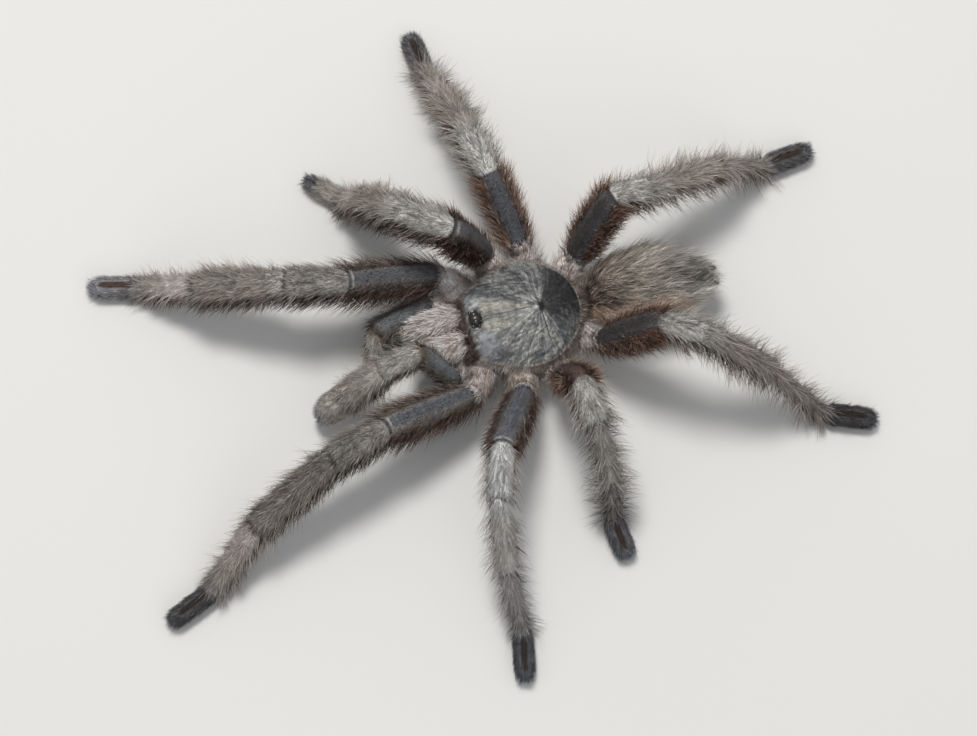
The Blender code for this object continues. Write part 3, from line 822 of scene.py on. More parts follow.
def abdomen_tint(share, turn, spots):
    """Colour of the abdomen: olive brown, redder and darker at the waist and the tail."""
    away = np.abs(turn)
    wander = cloud(spots, 3.0, 8) - 0.5
    fine = cloud(spots, 0.8, 9) - 0.5
    streaks = ramp(stretched_cloud(turn / 0.17, share / 0.6, 18), 0.36, 0.58)
    spread = np.maximum(share, 0.01) ** 2
    tail = ramp(share, 0.46, 0.72) * fall(away, 1.1 * spread, 1.7 * spread)
    tint = layered(
        mix(OLIVE, OAT, ramp(share, 0.3, 0.7)),
        (RED_WAIST, fall(share + 0.12 * wander, 0.18, 0.44)),
        (SAND, 0.9 * ramp(turn, 0.6, 1.1) * fall(share, 0.55, 0.75)),
        (GREY_FLANK, 0.8 * ramp(-turn, 0.3, 1.1) * ramp(share, 0.3, 0.5)),
        (UMBER, 0.7 * ramp(share, 0.9, 0.98) + 0.4 * ramp(away, 2.0, 2.6) * (1.0 - share)),
        (TAIL_STREAK, 0.97 * tail * (0.4 + 0.6 * streaks)))
    return tint * (1.0 + 0.45 * wander + 0.35 * fine)[:, None]


def abdomen_tube():
    share = np.repeat(np.linspace(0.0, ABDOMEN_TIP, ABDOMEN_RINGS), ABDOMEN_SIDES)
    turn = np.tile(np.arange(ABDOMEN_SIDES)[::-1] * 2.0 * pi / ABDOMEN_SIDES, ABDOMEN_RINGS)
    spots = abdomen_at(share, turn)
    tint = abdomen_tint(share, straight_on(turn), spots)
    return *tube(spots.reshape(ABDOMEN_RINGS, ABDOMEN_SIDES, 3)), with_ends(tint)


# How far a spinneret's root lies inside the tail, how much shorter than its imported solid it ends,
# and how far it splays out.
SPINNERET_ROOT = 1.6
SPINNERET_SHORT = 0.5
SPINNERET_SPLAY = 0.3
SPINNERET_RINGS = 22
# Its half width at some shares of its length: three joints, each pinched at its end.
SPINNERET_WIDTHS = ((0.0, 0.5), (0.3, 0.5), (0.36, 0.43), (0.42, 0.49), (0.66, 0.45),
                    (0.71, 0.38), (0.76, 0.42), (0.93, 0.3), (1.0, 0.1))


def spinneret_tube(side):
    """One of the two finger-like spinnerets, of three joints, under the tail."""
    low, high = (np.array(corner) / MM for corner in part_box(f"spinneret_{side}"))
    middle = (low + high) / 2.0
    away = np.sign(middle[0] - ABDOMEN_MIDDLE)
    share = np.linspace(0.0, 1.0, SPINNERET_RINGS)
    width = np.interp(share, *zip(*SPINNERET_WIDTHS))
    length = high[1] - low[1] + SPINNERET_ROOT - SPINNERET_SHORT
    places = np.stack((middle[0] + away * SPINNERET_SPLAY * (share - 0.5),
                       low[1] - SPINNERET_ROOT + share * length,
                       np.full(SPINNERET_RINGS, middle[2])), -1)
    ring = np.stack((np.cos(ROUND), 0.0 * ROUND, np.sin(ROUND)), -1)
    return tube(places[:, None] + ring[None, ::-1] * width[:, None, None])


def face_outwards(piece):
    bpy.ops.object.select_all(action="DESELECT")
    bpy.context.view_layer.objects.active = piece
    piece.select_set(True)
    bpy.ops.object.mode_set(mode="EDIT")
    bpy.ops.mesh.select_all(action="SELECT")
    bpy.ops.mesh.normals_make_consistent(inside=False)
    bpy.ops.object.mode_set(mode="OBJECT")
    piece.select_set(False)


# The parts of the body beside the ten limbs, the abdomen last: each one's kind, shape, colour.
ROSY_JAW = (0.42, 0.36, 0.33)
SPINNERET_BROWN = (0.10, 0.07, 0.05)
plain_bodies = (
    ("plate", lump((0.0, 9.5, 6.6), (6.1, 7.9, 2.9), 2.6), (0.16, 0.115, 0.09)),
    ("plate", lump((0.0, 16.6, 6.9), (4.3, 4.6, 2.2), 2.4), (0.08, 0.048, 0.038)),
    ("plate", lump((0.0, 0.6, 6.9), (1.9, 3.0, 1.5), 2.2), (0.12, 0.080, 0.060)),
    ("jaw", jaw(1.0), ROSY_JAW),
    ("jaw", jaw(-1.0), ROSY_JAW),
    ("spinneret", spinneret_tube("L"), SPINNERET_BROWN),
    ("spinneret", spinneret_tube("R"), SPINNERET_BROWN),
)
bodies = [limb_tube(line) for line in LINES.values()]
for kind, (spots, quads, tris), colour in plain_bodies:
    tint = np.array(colour) * (0.8 + 0.4 * cloud(spots, 0.9, 5))[:, None]
    bodies.append((spots, quads, tris, tint))
bodies.append(abdomen_tube())
body_kinds = ["limb"] * len(LINES) + [kind for kind, shape, colour in plain_bodies] + ["abdomen"]

# The plate between the legs takes all the other parts in, and becomes the skin.
lumps = [new_piece(f"lump_{number}", spots, quads, tris, None)
         for number, (spots, quads, tris, tint) in enumerate(bodies)]
for piece in lumps:
    face_outwards(piece)
skin = lumps.pop(body_kinds.index("plate"))
skin.name = "skin"
others = bpy.data.collections.new("soft_parts")
for piece in lumps:
    others.objects.link(piece)
union = skin.modifiers.new("union", "BOOLEAN")
union.operation = "UNION"
union.operand_type = "COLLECTION"
union.collection = others
union.solver = "MANIFOLD"
bpy.context.view_layer.objects.active = skin
bpy.ops.object.modifier_apply(modifier=union.name)
for piece in lumps:
    bpy.data.objects.remove(piece, do_unlink=True)
bpy.data.collections.remove(others)

# Each corner of the skin takes the colour, and the kind, of the nearest corner of the parts.
painted = np.concatenate([body[0] for body in bodies])
tints = np.concatenate([body[3] for body in bodies])
kinds = np.repeat(body_kinds, [len(body[0]) for body in bodies])
tree = KDTree(len(painted))
for index, spot in enumerate(painted):
    tree.insert(spot, index)
tree.balance()
nearest = [tree.find(corner.co / MM)[1] for corner in skin.data.vertices]
paint(skin, tints[nearest])
skin_kinds = kinds[nearest]
skin.data.shade_smooth()
skin.data.materials.clear()

leather = Finish("hairy_skin", Specular_IOR_Level=0.3)
pores = leather.grain(0.28, 3.0, 0.6)
leather.wear(Base_Color=leather.tinted(leather.painted_tint(), pores * 0.7 + 0.55),
             Roughness=pores * 0.2 + 0.6,
             Normal=leather.bump(leather.grain(0.22) + leather.grain(0.6) * 0.6, 0.16, 0.8))
skin.data.materials.append(leather.material)
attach(skin, "root")
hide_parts("underside", "abdomen", "chelicera_L", "chelicera_R", "spinneret_L",
            "spinneret_R", *(f"{limb}_{part}" for limb in LIMBS for part in LIMBS[limb]))


# The shell over the front of the body: one hard plate, matt grey with fine hair pressed flat
# on it, with a dark pit behind its middle that grooves and pale streaks run out from. Its
# places are in mm to the left of its middle line and ahead of its rear end.
SHELL_LENGTH = 17.9
SHELL_HALF = 8.7
SHELL_REAR_BLUNT = 2.2
SHELL_FRONT_BLUNT = 4.8
SHELL_FLOOR = 8.7
SHELL_EDGE = 0.7
# The plate rises over the back, and again over the head, whose top is at a share of its length.
BACK_RISE = 2.8
BACK_SPAN = 0.84
HEAD_RISE = 3.6
HEAD_SHARE = 0.86
HEAD_SPAN = 0.5
# How blunt the rises end at the rear and the front, how sharply they meet each other, and how
# flat the plate is across.
END_BLUNTS = (8, 20)
RISE_MEETING = 6
CROSS_BLUNT = 2.2
PIT = (0.3, 6.1)
PIT_DEPTH = 0.5
PIT_HALVES = (1.15, 0.38)
GROOVE_HALF = 0.3
HEAD_LIFT = 0.16
# Grooves round the pit: direction from straight ahead in degrees, left positive, depth, and
# the share of the way to the edge that they run.
GROOVES = ((34, 0.16, 0.95), (-34, 0.16, 0.95), (62, 0.09, 0.8), (-60, 0.09, 0.8), (89, 0.13, 0.9),
           (-84, 0.13, 0.9), (121, 0.09, 0.85), (-118, 0.09, 0.85), (152, 0.08, 0.8),
           (-150, 0.08, 0.8))
# Thin dark lines out from the pit: direction, and how dark they are.
CREASES = ((36, 0.6), (-38, 0.6), (89, 0.95), (-84, 0.7), (60, 0.5), (-58, 0.5), (104, 0.7),
           (74, 0.45), (48, 0.4), (-70, 0.5), (-50, 0.4))
# Smooth blue-grey patches at the front corners: middle sideways and ahead, half sizes.
BLUE_PATCHES = ((4.1, 15.4, 2.1, 1.5), (-3.0, 16.1, 1.5, 1.4))
# Its colours: the grey plate from dark to pale, with a painted sheen on its left side, pale
# streaks and dark specks; then the night-dark rear, the creamy wedge on the head with a darker
# middle and line, the blue-grey patches, the brown front edge, the pit and the pale margin.
STONE_DARK = (0.110, 0.115, 0.120)
STONE_PALE = (0.390, 0.396, 0.392)
LEFT_SHEEN = (0.470, 0.475, 0.470)
PALE_STREAK = (0.520, 0.520, 0.480)
DARK_SPECK = (0.038, 0.041, 0.046)
CREASE_BLACK = (0.022, 0.022, 0.026)
REAR_NIGHT = (0.018, 0.017, 0.018)
REAR_STREAK = (0.140, 0.140, 0.135)
HEAD_WEDGE = (0.515, 0.500, 0.425)
HEAD_MIDDLE = (0.230, 0.230, 0.215)
HEAD_LINE = (0.045, 0.042, 0.042)
BLUE_GREY = (0.245, 0.252, 0.268)
FRONT_BROWN = (0.030, 0.017, 0.013)
FRONT_STREAK = (0.120, 0.070, 0.055)
PIT_BLACK = (0.012, 0.011, 0.012)
PALE_MARGIN = (0.560, 0.490, 0.420)


def shell_half(forward):
    share = np.clip(forward / SHELL_LENGTH, 0.0, 1.0)
    swell = np.maximum(0.0, np.sin(pi * share ** 0.92)) ** 0.7
    blunt = SHELL_REAR_BLUNT + (SHELL_FRONT_BLUNT - SHELL_REAR_BLUNT) * share ** 2
    return blunt + (SHELL_HALF - blunt) * swell


def shell_top(sideways, forward):
    """Height of the shell's plain upper surface."""
    share = np.clip(forward / SHELL_LENGTH, 0.0, 1.0)
    back = BACK_RISE * np.sqrt(np.maximum(np.sin(pi * np.minimum(share / BACK_SPAN, 1.0)), 0.0))
    head = HEAD_RISE * np.cos(pi / 2 * np.minimum(np.abs(share - HEAD_SHARE) / HEAD_SPAN, 1.0))
    blunt = np.where(share > 0.5, END_BLUNTS[1], END_BLUNTS[0])
    ends = np.sqrt(np.maximum(0.0, 1.0 - np.abs(2.0 * share - 1.0) ** blunt))
    rise = ends * (back ** RISE_MEETING + head ** RISE_MEETING) ** (1.0 / RISE_MEETING)
    part = np.minimum(np.abs(sideways) / shell_half(forward), 1.0)
    return SHELL_FLOOR + SHELL_EDGE + rise * (1.0 - part ** CROSS_BLUNT)


def from_pit(sideways, forward):
    """Direction from straight ahead in degrees, left positive, and distance from the pit."""
    angle = np.degrees(np.arctan2(sideways - PIT[0], forward - PIT[1]))
    return angle, np.hypot(sideways - PIT[0], forward - PIT[1])


def off_pit(angle, far):
    """The place in a direction and at a distance from the pit."""
    way = np.radians(angle)
    return PIT[0] + far * np.sin(way), PIT[1] + far * np.cos(way)


def groove_at(angle, far, way, width):
    swing = np.radians((angle - way + 180.0) % 360.0 - 180.0)
    return hump(swing * np.maximum(far, 0.5), 0.0, width)


def oval_reach(sideways, forward, across, ahead, wide, long):
    """Under 1 inside an oval on the shell, from its middle and half sizes."""
    return ((sideways - across) / wide) ** 2 + ((forward - ahead) / long) ** 2


def shell_height(sideways, forward, out):
    """Height of the shell with its pit, its grooves and its raised head."""
    angle, far = from_pit(sideways, forward)
    depth = hump(forward, PIT[1] - 0.1, PIT_HALVES[1]) * hump(sideways, PIT[0], PIT_HALVES[0])
    depth = depth * PIT_DEPTH
    for way, deep, reach in GROOVES:
        groove = groove_at(angle, far, way, GROOVE_HALF) * ramp(far, 0.4, 1.4)
        depth = depth + 0.5 * deep * groove * fall(out, reach - 0.12, reach)
    head = HEAD_LIFT * fall(np.abs(angle), 26.0, 40.0) * ramp(far, 1.0, 4.0)
    return shell_top(sideways, forward) + head - depth


def shell_tint(sideways, forward, out):
    """Colours of the shell and of the hair on it."""
    angle, far = from_pit(sideways, forward)
    spots = np.stack((sideways, forward), -1)
    drift = cloud(spots, 2.4, 10) - 0.5
    angle = angle + 8.0 * drift * ramp(far, 1.0, 4.0)
    away = np.abs(angle)
    around = angle * far
    streaks = 0.55 * stretched_cloud(angle / 3.2, far / 2.2, 11)
    streaks = streaks + 0.45 * stretched_cloud(around / 14.0, far / 1.1, 16)
    broad = stretched_cloud(angle / 8.0, far / 5.0, 12)
    specks = stretched_cloud(around / 15.0, far / 1.7, 13)
    mottle = cloud(spots, 1.1, 15)
    grit = ramp(cloud(spots, 0.32, 19), 0.52, 0.78) * ramp(far, 0.8, 2.0)
    pale = ramp(streaks, 0.5, 0.7) * ramp(far, 0.5, 1.6) * (0.45 + 0.75 * ramp(sideways, -3.5, 1.5))
    pale = np.clip(pale * (0.4 + 0.8 * mottle + 0.6 * hump(far, 1.8, 2.2)), 0.0, 1.0)
    tint = layered(
        mix(STONE_DARK, STONE_PALE, ramp(0.48 * streaks + 0.32 * broad + 0.2 * mottle, 0.34, 0.64)),
        # Painted sheen: a broad lighter patch on the left slope of the plate.
        (LEFT_SHEEN, 0.5 * hump(sideways, 4.2, 2.6) * hump(forward, 10.6, 3.0)),
        (PALE_STREAK, 0.85 * pale * fall(away, 104.0, 125.0)),
        (DARK_SPECK, 0.7 * ramp(specks, 0.5, 0.66) * ramp(away, 24.0, 36.0) * ramp(mottle, 0.25, 0.5)))
    tint = tint * (1.0 - 0.26 * ramp(-sideways, 0.8, 3.0) * ramp(away, 28.0, 40.0))[:, None]
    rear = ramp(away + 26.0 * (broad - 0.5), 100.0, 124.0) * (1.0 - 0.4 * ramp(sideways, 1.5, 4.5))
    night = mix(REAR_NIGHT, REAR_STREAK, 0.4 * ramp(streaks, 0.66, 0.88))
    wedge = hump(angle, -11.0, 7.5) * ramp(far, 0.6, 2.0)
    wedge = wedge + 0.85 * hump(angle, 12.0, 5.0) * ramp(far, 3.5, 6.0)
    wedge = wedge * fall(far, 9.0, 9.8) * (0.6 + 0.6 * streaks)
    middle = fall(np.abs(sideways), 0.4, 0.9) * ramp(forward, 7.0, 11.0)
    line = hump(sideways - 0.1 + 0.6 * drift, 0.0, 0.13) * ramp(forward, 6.6, 7.6)
    patch_shares = (np.clip(0.55 + 0.6 * mottle, 0.0, 0.92), 0.35 + 0.4 * mottle)
    front = ramp(forward + mottle - 0.5, 17.1, 17.7)
    pit = hump(forward, PIT[1] - 0.1, 0.34) * hump(sideways, PIT[0], 1.0)
    margin = ramp(out, 0.955, 0.975) * np.clip(0.45 + 0.7 * mottle, 0.0, 1.0)
    tint = layered(
        tint,
        *((CREASE_BLACK, share * groove_at(angle, far, way, 0.11) * fall(out, 0.66, 0.9))
          for way, share in CREASES),
        (night, 0.95 * rear),
        (HEAD_WEDGE, np.clip(wedge, 0.0, 0.95)),
        (HEAD_MIDDLE, 0.7 * middle * (0.5 + 0.7 * streaks)),
        (HEAD_LINE, 0.8 * line * fall(forward, 14.9, 15.7)),
        *((BLUE_GREY, share * fall(oval_reach(sideways, forward, *patch) + 0.6 * drift, 0.5, 1.6))
          for patch, share in zip(BLUE_PATCHES, patch_shares)),
        (mix(FRONT_BROWN, FRONT_STREAK, streaks), 0.9 * front),
        (PIT_BLACK, np.clip(1.3 * pit, 0.0, 1.0)),
        (PALE_MARGIN, margin * (1.0 - front)))
    return tint * ((0.97 + 0.38 * specks) * (1.0 - 0.42 * grit))[:, None]


# The shell is a tube of rings round the pit, which go out to its edge, round the rim and a
# little way back underneath. Outs are shares of the way to the edge, and drops are in mm.
WAYS = 336
TOP_RINGS = 62
RIM_OUTS = (0.95, 0.965, 0.978, 0.988, 0.995, 1.0, 0.997, 0.985, 0.93, 0.7)
RIM_DROPS = (0.0, 0.02, 0.05, 0.12, 0.22, 0.36, 0.5, 0.62, 0.7, 0.7)
edge_forward = SHELL_LENGTH * (0.5 - 0.5 * np.cos(pi * np.linspace(0.0, 1.0, 400)))
edge_half = shell_half(edge_forward)
edge_angle, edge_far = from_pit(np.append(edge_half, -edge_half[::-1]),
                                np.append(edge_forward, edge_forward[::-1]))
order = np.argsort(edge_angle)
shell_ways = -180.0 + 360.0 * np.arange(WAYS) / WAYS
shell_far = np.interp(shell_ways, edge_angle[order], edge_far[order], period=360.0)
outs = np.append(np.linspace(0.015, 0.93, TOP_RINGS), RIM_OUTS)
out = np.repeat(outs, WAYS)
drop = np.repeat(np.append(np.zeros(TOP_RINGS), RIM_DROPS), WAYS)
sideways, forward = off_pit(np.tile(shell_ways, len(outs)), np.tile(shell_far, len(outs)) * out)
height = shell_height(sideways, forward, out) - drop
height = np.where(drop > 0.6, SHELL_FLOOR + SHELL_EDGE + 0.05 - drop, height)
height += 0.035 * (cloud(np.stack((sideways, forward), -1), 0.5, 14) - 0.5) * (drop == 0.0)
shell_rings = body_place(sideways, forward, height, SHELL_REAR).reshape(len(outs), WAYS, 3)
shell = new_piece("carapace_shell", *tube(shell_rings), with_ends(shell_tint(sideways, forward, out)))
face_outwards(shell)
horny = Finish("shell_plate", Specular_IOR_Level=0.25)
grit = horny.grain(0.2, 3.0, 0.6)
horny.wear(Base_Color=horny.tinted(horny.painted_tint(), grit * 0.5 + 0.75),
           Roughness=grit * 0.25 + 0.55, Normal=horny.bump(grit, 0.05, 0.8))
shell.data.materials.append(horny.material)
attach(shell, "root")
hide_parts("carapace")


# The eye mound: a low glossy knob of dark horn behind the front edge of the shell, which the
# eyes sit in. It is an oval dome, cut off flat inside the shell.
MOUND = (0.0, 16.4)
MOUND_HALVES = (1.3, 1.1, 1.0)
MOUND_DEPTH = 0.45
mound_base = float(shell_top(0.0, MOUND[1]))
bpy.ops.mesh.primitive_uv_sphere_add(
    segments=40, ring_count=24, radius=1.0,
    location=tuple(body_place(*MOUND, mound_base + 0.05, SHELL_REAR) * MM),
    rotation=(0.0, 0.0, np.arctan2(AHEAD[1], AHEAD[0]) + pi / 2),
    scale=[half * MM for half in MOUND_HALVES])
mound = bpy.context.object
mound.name = "eye_mound_knob"
bpy.ops.object.transform_apply(location=True, rotation=True, scale=True)
bpy.ops.object.mode_set(mode="EDIT")
bpy.ops.mesh.select_all(action="SELECT")
bpy.ops.mesh.bisect(plane_co=(0, 0, (mound_base - MOUND_DEPTH) * MM), plane_no=(0, 0, 1),
                    use_fill=True, clear_inner=True)
bpy.ops.object.mode_set(mode="OBJECT")
bpy.ops.object.shade_smooth_by_angle(angle=radians(50))
horn = Finish("eye_mound_horn", Specular_IOR_Level=0.6)
stain = horn.grain(0.5)
horn.wear(Base_Color=horn.two_tone(stain, 0.3, (0.006, 0.004, 0.004), 0.8, (0.026, 0.012, 0.009)),
          Roughness=stain * 0.2 + 0.28, Normal=horn.bump(horn.grain(0.15), 0.02, 0.6))
mound.data.materials.append(horn.material)
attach(mound, "root")
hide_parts("eye_mound")


# The eyes: eight glossy black beads set in the mound, two big ones side by side on top and
# three small ones round each. Given here for one side: how far each is sideways, ahead and up
# from the middle of the mound's foot, and its radius.
EYES = ((0.58, 0.1, 0.74, 0.5), (1.08, 0.62, 0.4, 0.34), (1.2, -0.3, 0.4, 0.3),
        (0.66, -0.74, 0.6, 0.25))


def joined(pieces, name):
    """One object, its place in its mesh, made of several."""
    bpy.ops.object.select_all(action="DESELECT")
    for piece in pieces:
        piece.select_set(True)
    bpy.context.view_layer.objects.active = pieces[0]
    bpy.ops.object.join()
    bpy.ops.object.transform_apply(location=True, rotation=True, scale=True)
    bpy.ops.object.select_all(action="DESELECT")
    pieces[0].name = name
    return pieces[0]


beads = []
for sign in (1.0, -1.0):
    for across, ahead, up, size in EYES:
        spot = body_place(sign * across, MOUND[1] + ahead, mound_base + up, SHELL_REAR) * MM
        bpy.ops.mesh.primitive_uv_sphere_add(segments=28, ring_count=18, radius=size * MM,
                                             location=tuple(spot), scale=(1.0, 1.0, 0.9))
        bpy.ops.object.shade_smooth()
        beads.append(bpy.context.object)
eyes = joined(beads, "eyes")
glass = Finish("wet_black_eye", Roughness=0.16, Specular_IOR_Level=0.9)
glass.wear(Base_Color=glass.two_tone(glass.grain(0.4), 0.3, (0.004, 0.004, 0.005),
                                     0.8, (0.022, 0.015, 0.012)))
eyes.data.materials.append(glass.material)
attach(eyes, "root")


# The fangs and claws: curved spikes of black horn. A fang folds back under each jaw, and a
# pair of small hooked claws sits in the hair at the end of each limb.
HOOK_CUTS = 8
HOOK_SIDES = 14
HOOK_TIP = 0.08
# Where a fang starts, sideways and ahead of the waist, how far apart from the toe's middle a
# claw starts, and how many steps back from the end of the limb's middle line.
FANG_PLACE = (2.0, 26.3)
CLAW_ASIDE = 0.35
CLAW_STEPS = 12


def hook(name, root, way, down, length, width, bend):
    """A curved spike from its root along way, bending towards down by bend degrees."""
    bpy.ops.mesh.primitive_cone_add(vertices=HOOK_SIDES, radius1=width, radius2=width * HOOK_TIP,
                                    depth=length, location=(0, 0, length / 2),
                                    end_fill_type="NGON")
    spike = bpy.context.object
    spike.name = name
    bpy.ops.object.transform_apply(location=True)
    bpy.ops.object.mode_set(mode="EDIT")
    for cut in range(1, HOOK_CUTS):
        bpy.ops.mesh.select_all(action="SELECT")
        bpy.ops.mesh.bisect(plane_co=(0, 0, length * cut / HOOK_CUTS), plane_no=(0, 0, 1))
    bpy.ops.object.mode_set(mode="OBJECT")
    along = Vector(way).normalized()
    side = Vector(down).cross(along).normalized()
    top = side.cross(along)
    radius = length / radians(bend)
    for corner in spike.data.vertices:
        angle = radians(bend) * corner.co.z / length
        bow = radius - corner.co.x
        spot = along * bow * sin(angle) + top * (bow * cos(angle) - radius)
        corner.co = Vector(root) + spot + side * corner.co.y
    bpy.ops.object.shade_smooth_by_angle(angle=radians(45))
    return spike


black = Finish("black_horn_finish", Specular_IOR_Level=0.6)
warm = black.grain(0.8)
black.wear(Base_Color=black.two_tone(warm, 0.25, (0.010, 0.008, 0.008), 0.85, (0.060, 0.022, 0.012)),
           Roughness=warm * 0.15 + 0.18, Normal=black.bump(black.grain(0.2), 0.01, 0.5))
for side, sign in (("L", 1.0), ("R", -1.0)):
    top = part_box(f"fang_{side}")[1][2] / MM
    root = body_place(sign * FANG_PLACE[0], FANG_PLACE[1], top + 0.9) * MM
    fang = hook(f"fang_horn_{side}", root, way=-AHEAD - 0.75 * UP, down=UP, length=4.6 * MM,
                width=0.55 * MM, bend=62.0)
    fang.data.materials.append(black.material)
    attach(fang, "root")
    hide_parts(f"fang_{side}")
hooks = []
for line in LINES.values():
    toe = len(line["reach"]) - CLAW_STEPS
    for sign in (1.0, -1.0):
        across = line["across"][toe] * sign * CLAW_ASIDE
        way = line["onward"][toe] + across * 0.6 + 0.25 * UP
        hooks.append(hook("claw", (line["middle"][toe] + across) * MM, way, down=-UP,
                          length=1.2 * MM, width=0.16 * MM, bend=80.0))
claws = joined(hooks, "claws")
claws.data.materials.append(black.material)
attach(claws, "root")


# The coat of the limbs: stiff tapering hairs in a short dense pile, with longer ones standing
# out of it, a fringe hanging below and fine pale wisps over all. They lie towards the end of
# each limb. Each kind of length has its own piece on each side: hips, femora and so on.
COATS = {}
# Roots further than this from the joined skin are inside another part of it. A root is set a
# little into the skin, and no hair comes nearer to the floor than this.
SKIN_SLACK = 0.16
ROOT_DEPTH = 0.02
FLOOR_GAP = 0.05
# How a hair tapers: under 1, it stays thick for most of its length.
TAPER = 0.6
# Each hair takes up a small square of this size on the flat map of its coat.
HAIR_PATCH = 0.003
draw = np.random.default_rng(20)
skin_tree = BVHTree.FromObject(skin, bpy.context.evaluated_depsgraph_get())


def on_skin(spots):
    """Which places are on the outside of the joined skin, and not inside another part of it."""
    return np.array([skin_tree.find_nearest(spot)[3] < SKIN_SLACK * MM for spot in spots * MM])


def clear_of_shell(spots):
    """Which places aren't inside the hard shell, more than a little from its edge."""
    sideways, forward = body_shares(spots, SHELL_REAR)
    inside = (np.abs(sideways) < shell_half(forward) - 0.15) & (forward > 0.1)
    inside &= forward < SHELL_LENGTH - 0.1
    return ~(inside & (spots[:, 2] > SHELL_FLOOR - 0.25))


def leaning(along, outward, lean):
    """Directions that rise from along the surface by an angle."""
    return along * np.cos(lean)[:, None] + outward * np.sin(lean)[:, None]


def tufted(spots, seed, *sizes):
    """Soft random values about 0, by which neighbouring hairs lean, lift and shade alike."""
    return [cloud(spots, size, seed + number) - 0.5 for number, size in enumerate(sizes)]


def uneven(count, spread):
    """Brightness of single hairs, which are never all alike."""
    return np.exp(draw.normal(0.0, spread, count))[:, None]


def grow(coat, roots, outward, first, last, length, low_tint, high_tint, patch, width, cuts):
    """Adds one tapering three-sided hair at each root to a coat, bent from first to last."""
    count = len(roots)
    if not count:
        return
    roots = roots - outward * ROOT_DEPTH
    first, last = unit(first), unit(last)
    side = unit(np.cross(first, outward))
    length = length[:, None]
    rows, tints, places = [], [], []
    for cut in range(cuts):
        share = cut / cuts
        way = first + (last - first) * share
        spot = roots + length * (first * share + (last - first) * share * share / 2)
        upward = unit(np.cross(side, way))
        girth = width * 0.5 * (1.0 - share) ** TAPER
        rows += [spot - side * girth, spot + side * girth, spot + upward * girth]
        tints += [low_tint + (high_tint - low_tint) * share] * 3
        places += [patch + np.array(corner) * HAIR_PATCH
                   for corner in ((0.0, share), (1.0, share), (0.5, share + 0.2 / cuts))]
    rows.append(roots + length * (first + last) / 2)
    tints.append(high_tint)
    places.append(patch + np.array((0.5, 1.0)) * HAIR_PATCH)
    spots = np.stack(rows, 1)
    spots[..., 2] = np.maximum(spots[..., 2], FLOOR_GAP)
    corners = spots.shape[1]
    quads, tris = [], [(0, 1, 2)]
    for cut in range(cuts - 1):
        a, b, c = 3 * cut, 3 * cut + 1, 3 * cut + 2
        quads += [(a, a + 3, b + 3, b), (b, b + 3, c + 3, c), (c, c + 3, a + 3, a)]
    a, b, c, tip = corners - 4, corners - 3, corners - 2, corners - 1
    tris += [(a, tip, b), (b, tip, c), (c, tip, a)]
    starts = np.arange(count)[:, None, None] * corners
    quads = (np.array(quads, int).reshape(-1, 4)[None] + starts).reshape(-1, 4)
    tris = (np.array(tris)[None] + starts).reshape(-1, 3)
    COATS.setdefault(coat, []).append((
        spots.reshape(-1, 3), quads, tris, np.stack(tints, 1).reshape(-1, 3),
        np.stack(places, 1).reshape(-1, 2)))


COAT_NAMES = ("hip", "femur", "patella", "tibia", "metatarsus", "tarsus")
FEMUR = COAT_NAMES.index("femur")
TIBIA = COAT_NAMES.index("tibia")
METATARSUS = COAT_NAMES.index("metatarsus")
TARSUS = COAT_NAMES.index("tarsus")
# Lengths of the hairs of each layer on a hip, femur, patella, tibia, metatarsus and tarsus, and
# how many of them grow on a square millimetre. The wisps are as long as the long hair.
PILE_LENGTHS = np.array((1.5, 0.5, 1.0, 1.2, 1.1, 0.95))
PILE_COUNTS = np.array((14.0, 22.0, 20.0, 19.0, 20.0, 26.0))
MIDDLING_LENGTHS = np.array((2.0, 1.6, 1.6, 1.9, 1.8, 0.9))
MIDDLING_COUNTS = np.array((4.0, 10.0, 6.0, 7.0, 7.0, 3.0))
LONG_LENGTHS = np.array((2.6, 2.9, 3.5, 4.3, 4.1, 1.3))
LONG_COUNTS = np.array((2.0, 6.0, 4.0, 5.0, 5.5, 0.6))
SKIRT_LENGTHS = np.array((2.8, 3.2, 3.2, 3.3, 3.0, 1.2))
SKIRT_COUNTS = np.array((3.0, 9.0, 9.0, 9.0, 8.0, 3.0))
WISP_COUNTS = np.array((0.0, 1.4, 2.4, 3.0, 3.0, 0.0))
# How long the long hair and the skirt are, and how stiffly the long hair stands, on the feelers
# and each pair of legs.
LONG_SHARES = (0.6, 0.78, 0.85, 1.1, 1.1)
SKIRT_SHARES = (0.5, 0.9, 1.0, 1.0, 1.05)
STIFFNESS = (0.75, 0.8, 0.85, 1.05, 1.05)
# How much hanging hair each limb has, and how far its middling hair stands off.
SHAGGY = {
    "leg_L1": (0.7, 0.85), "leg_L2": (0.12, 0.55), "leg_L3": (0.3, 0.65), "leg_L4": (0.5, 0.75),
    "leg_R1": (1.0, 1.0), "leg_R2": (1.0, 1.0), "leg_R3": (0.5, 0.75), "leg_R4": (0.6, 0.8),
    "palp_L": (0.4, 0.8), "palp_R": (0.8, 0.9),
}
# Colours of the hair alone: grey hairs on top of the femora, the tips of the middling, the long
# and the hanging hair on their sides, and the hanging hair itself, dark, rusty and lit, where
# lit is a painted light on the side towards the main lamp.
GREY_HAIR = (0.260, 0.250, 0.250)
TAWNY_TIP = (0.420, 0.290, 0.220)
TAN_TIP = (0.500, 0.370, 0.290)
FOXY_TIP = (0.500, 0.340, 0.250)
DARK_FRINGE = (0.046, 0.033, 0.027)
RUSTY_FRINGE = (0.150, 0.062, 0.038)
LIT_FRINGE = (0.260, 0.215, 0.180)
# How much each primary of the outer lengths of two of the left legs is raised: a cool cast,
# painted in for blue skylight on them.
SKYLIGHT_CAST = (0.99, 1.06, 1.12)


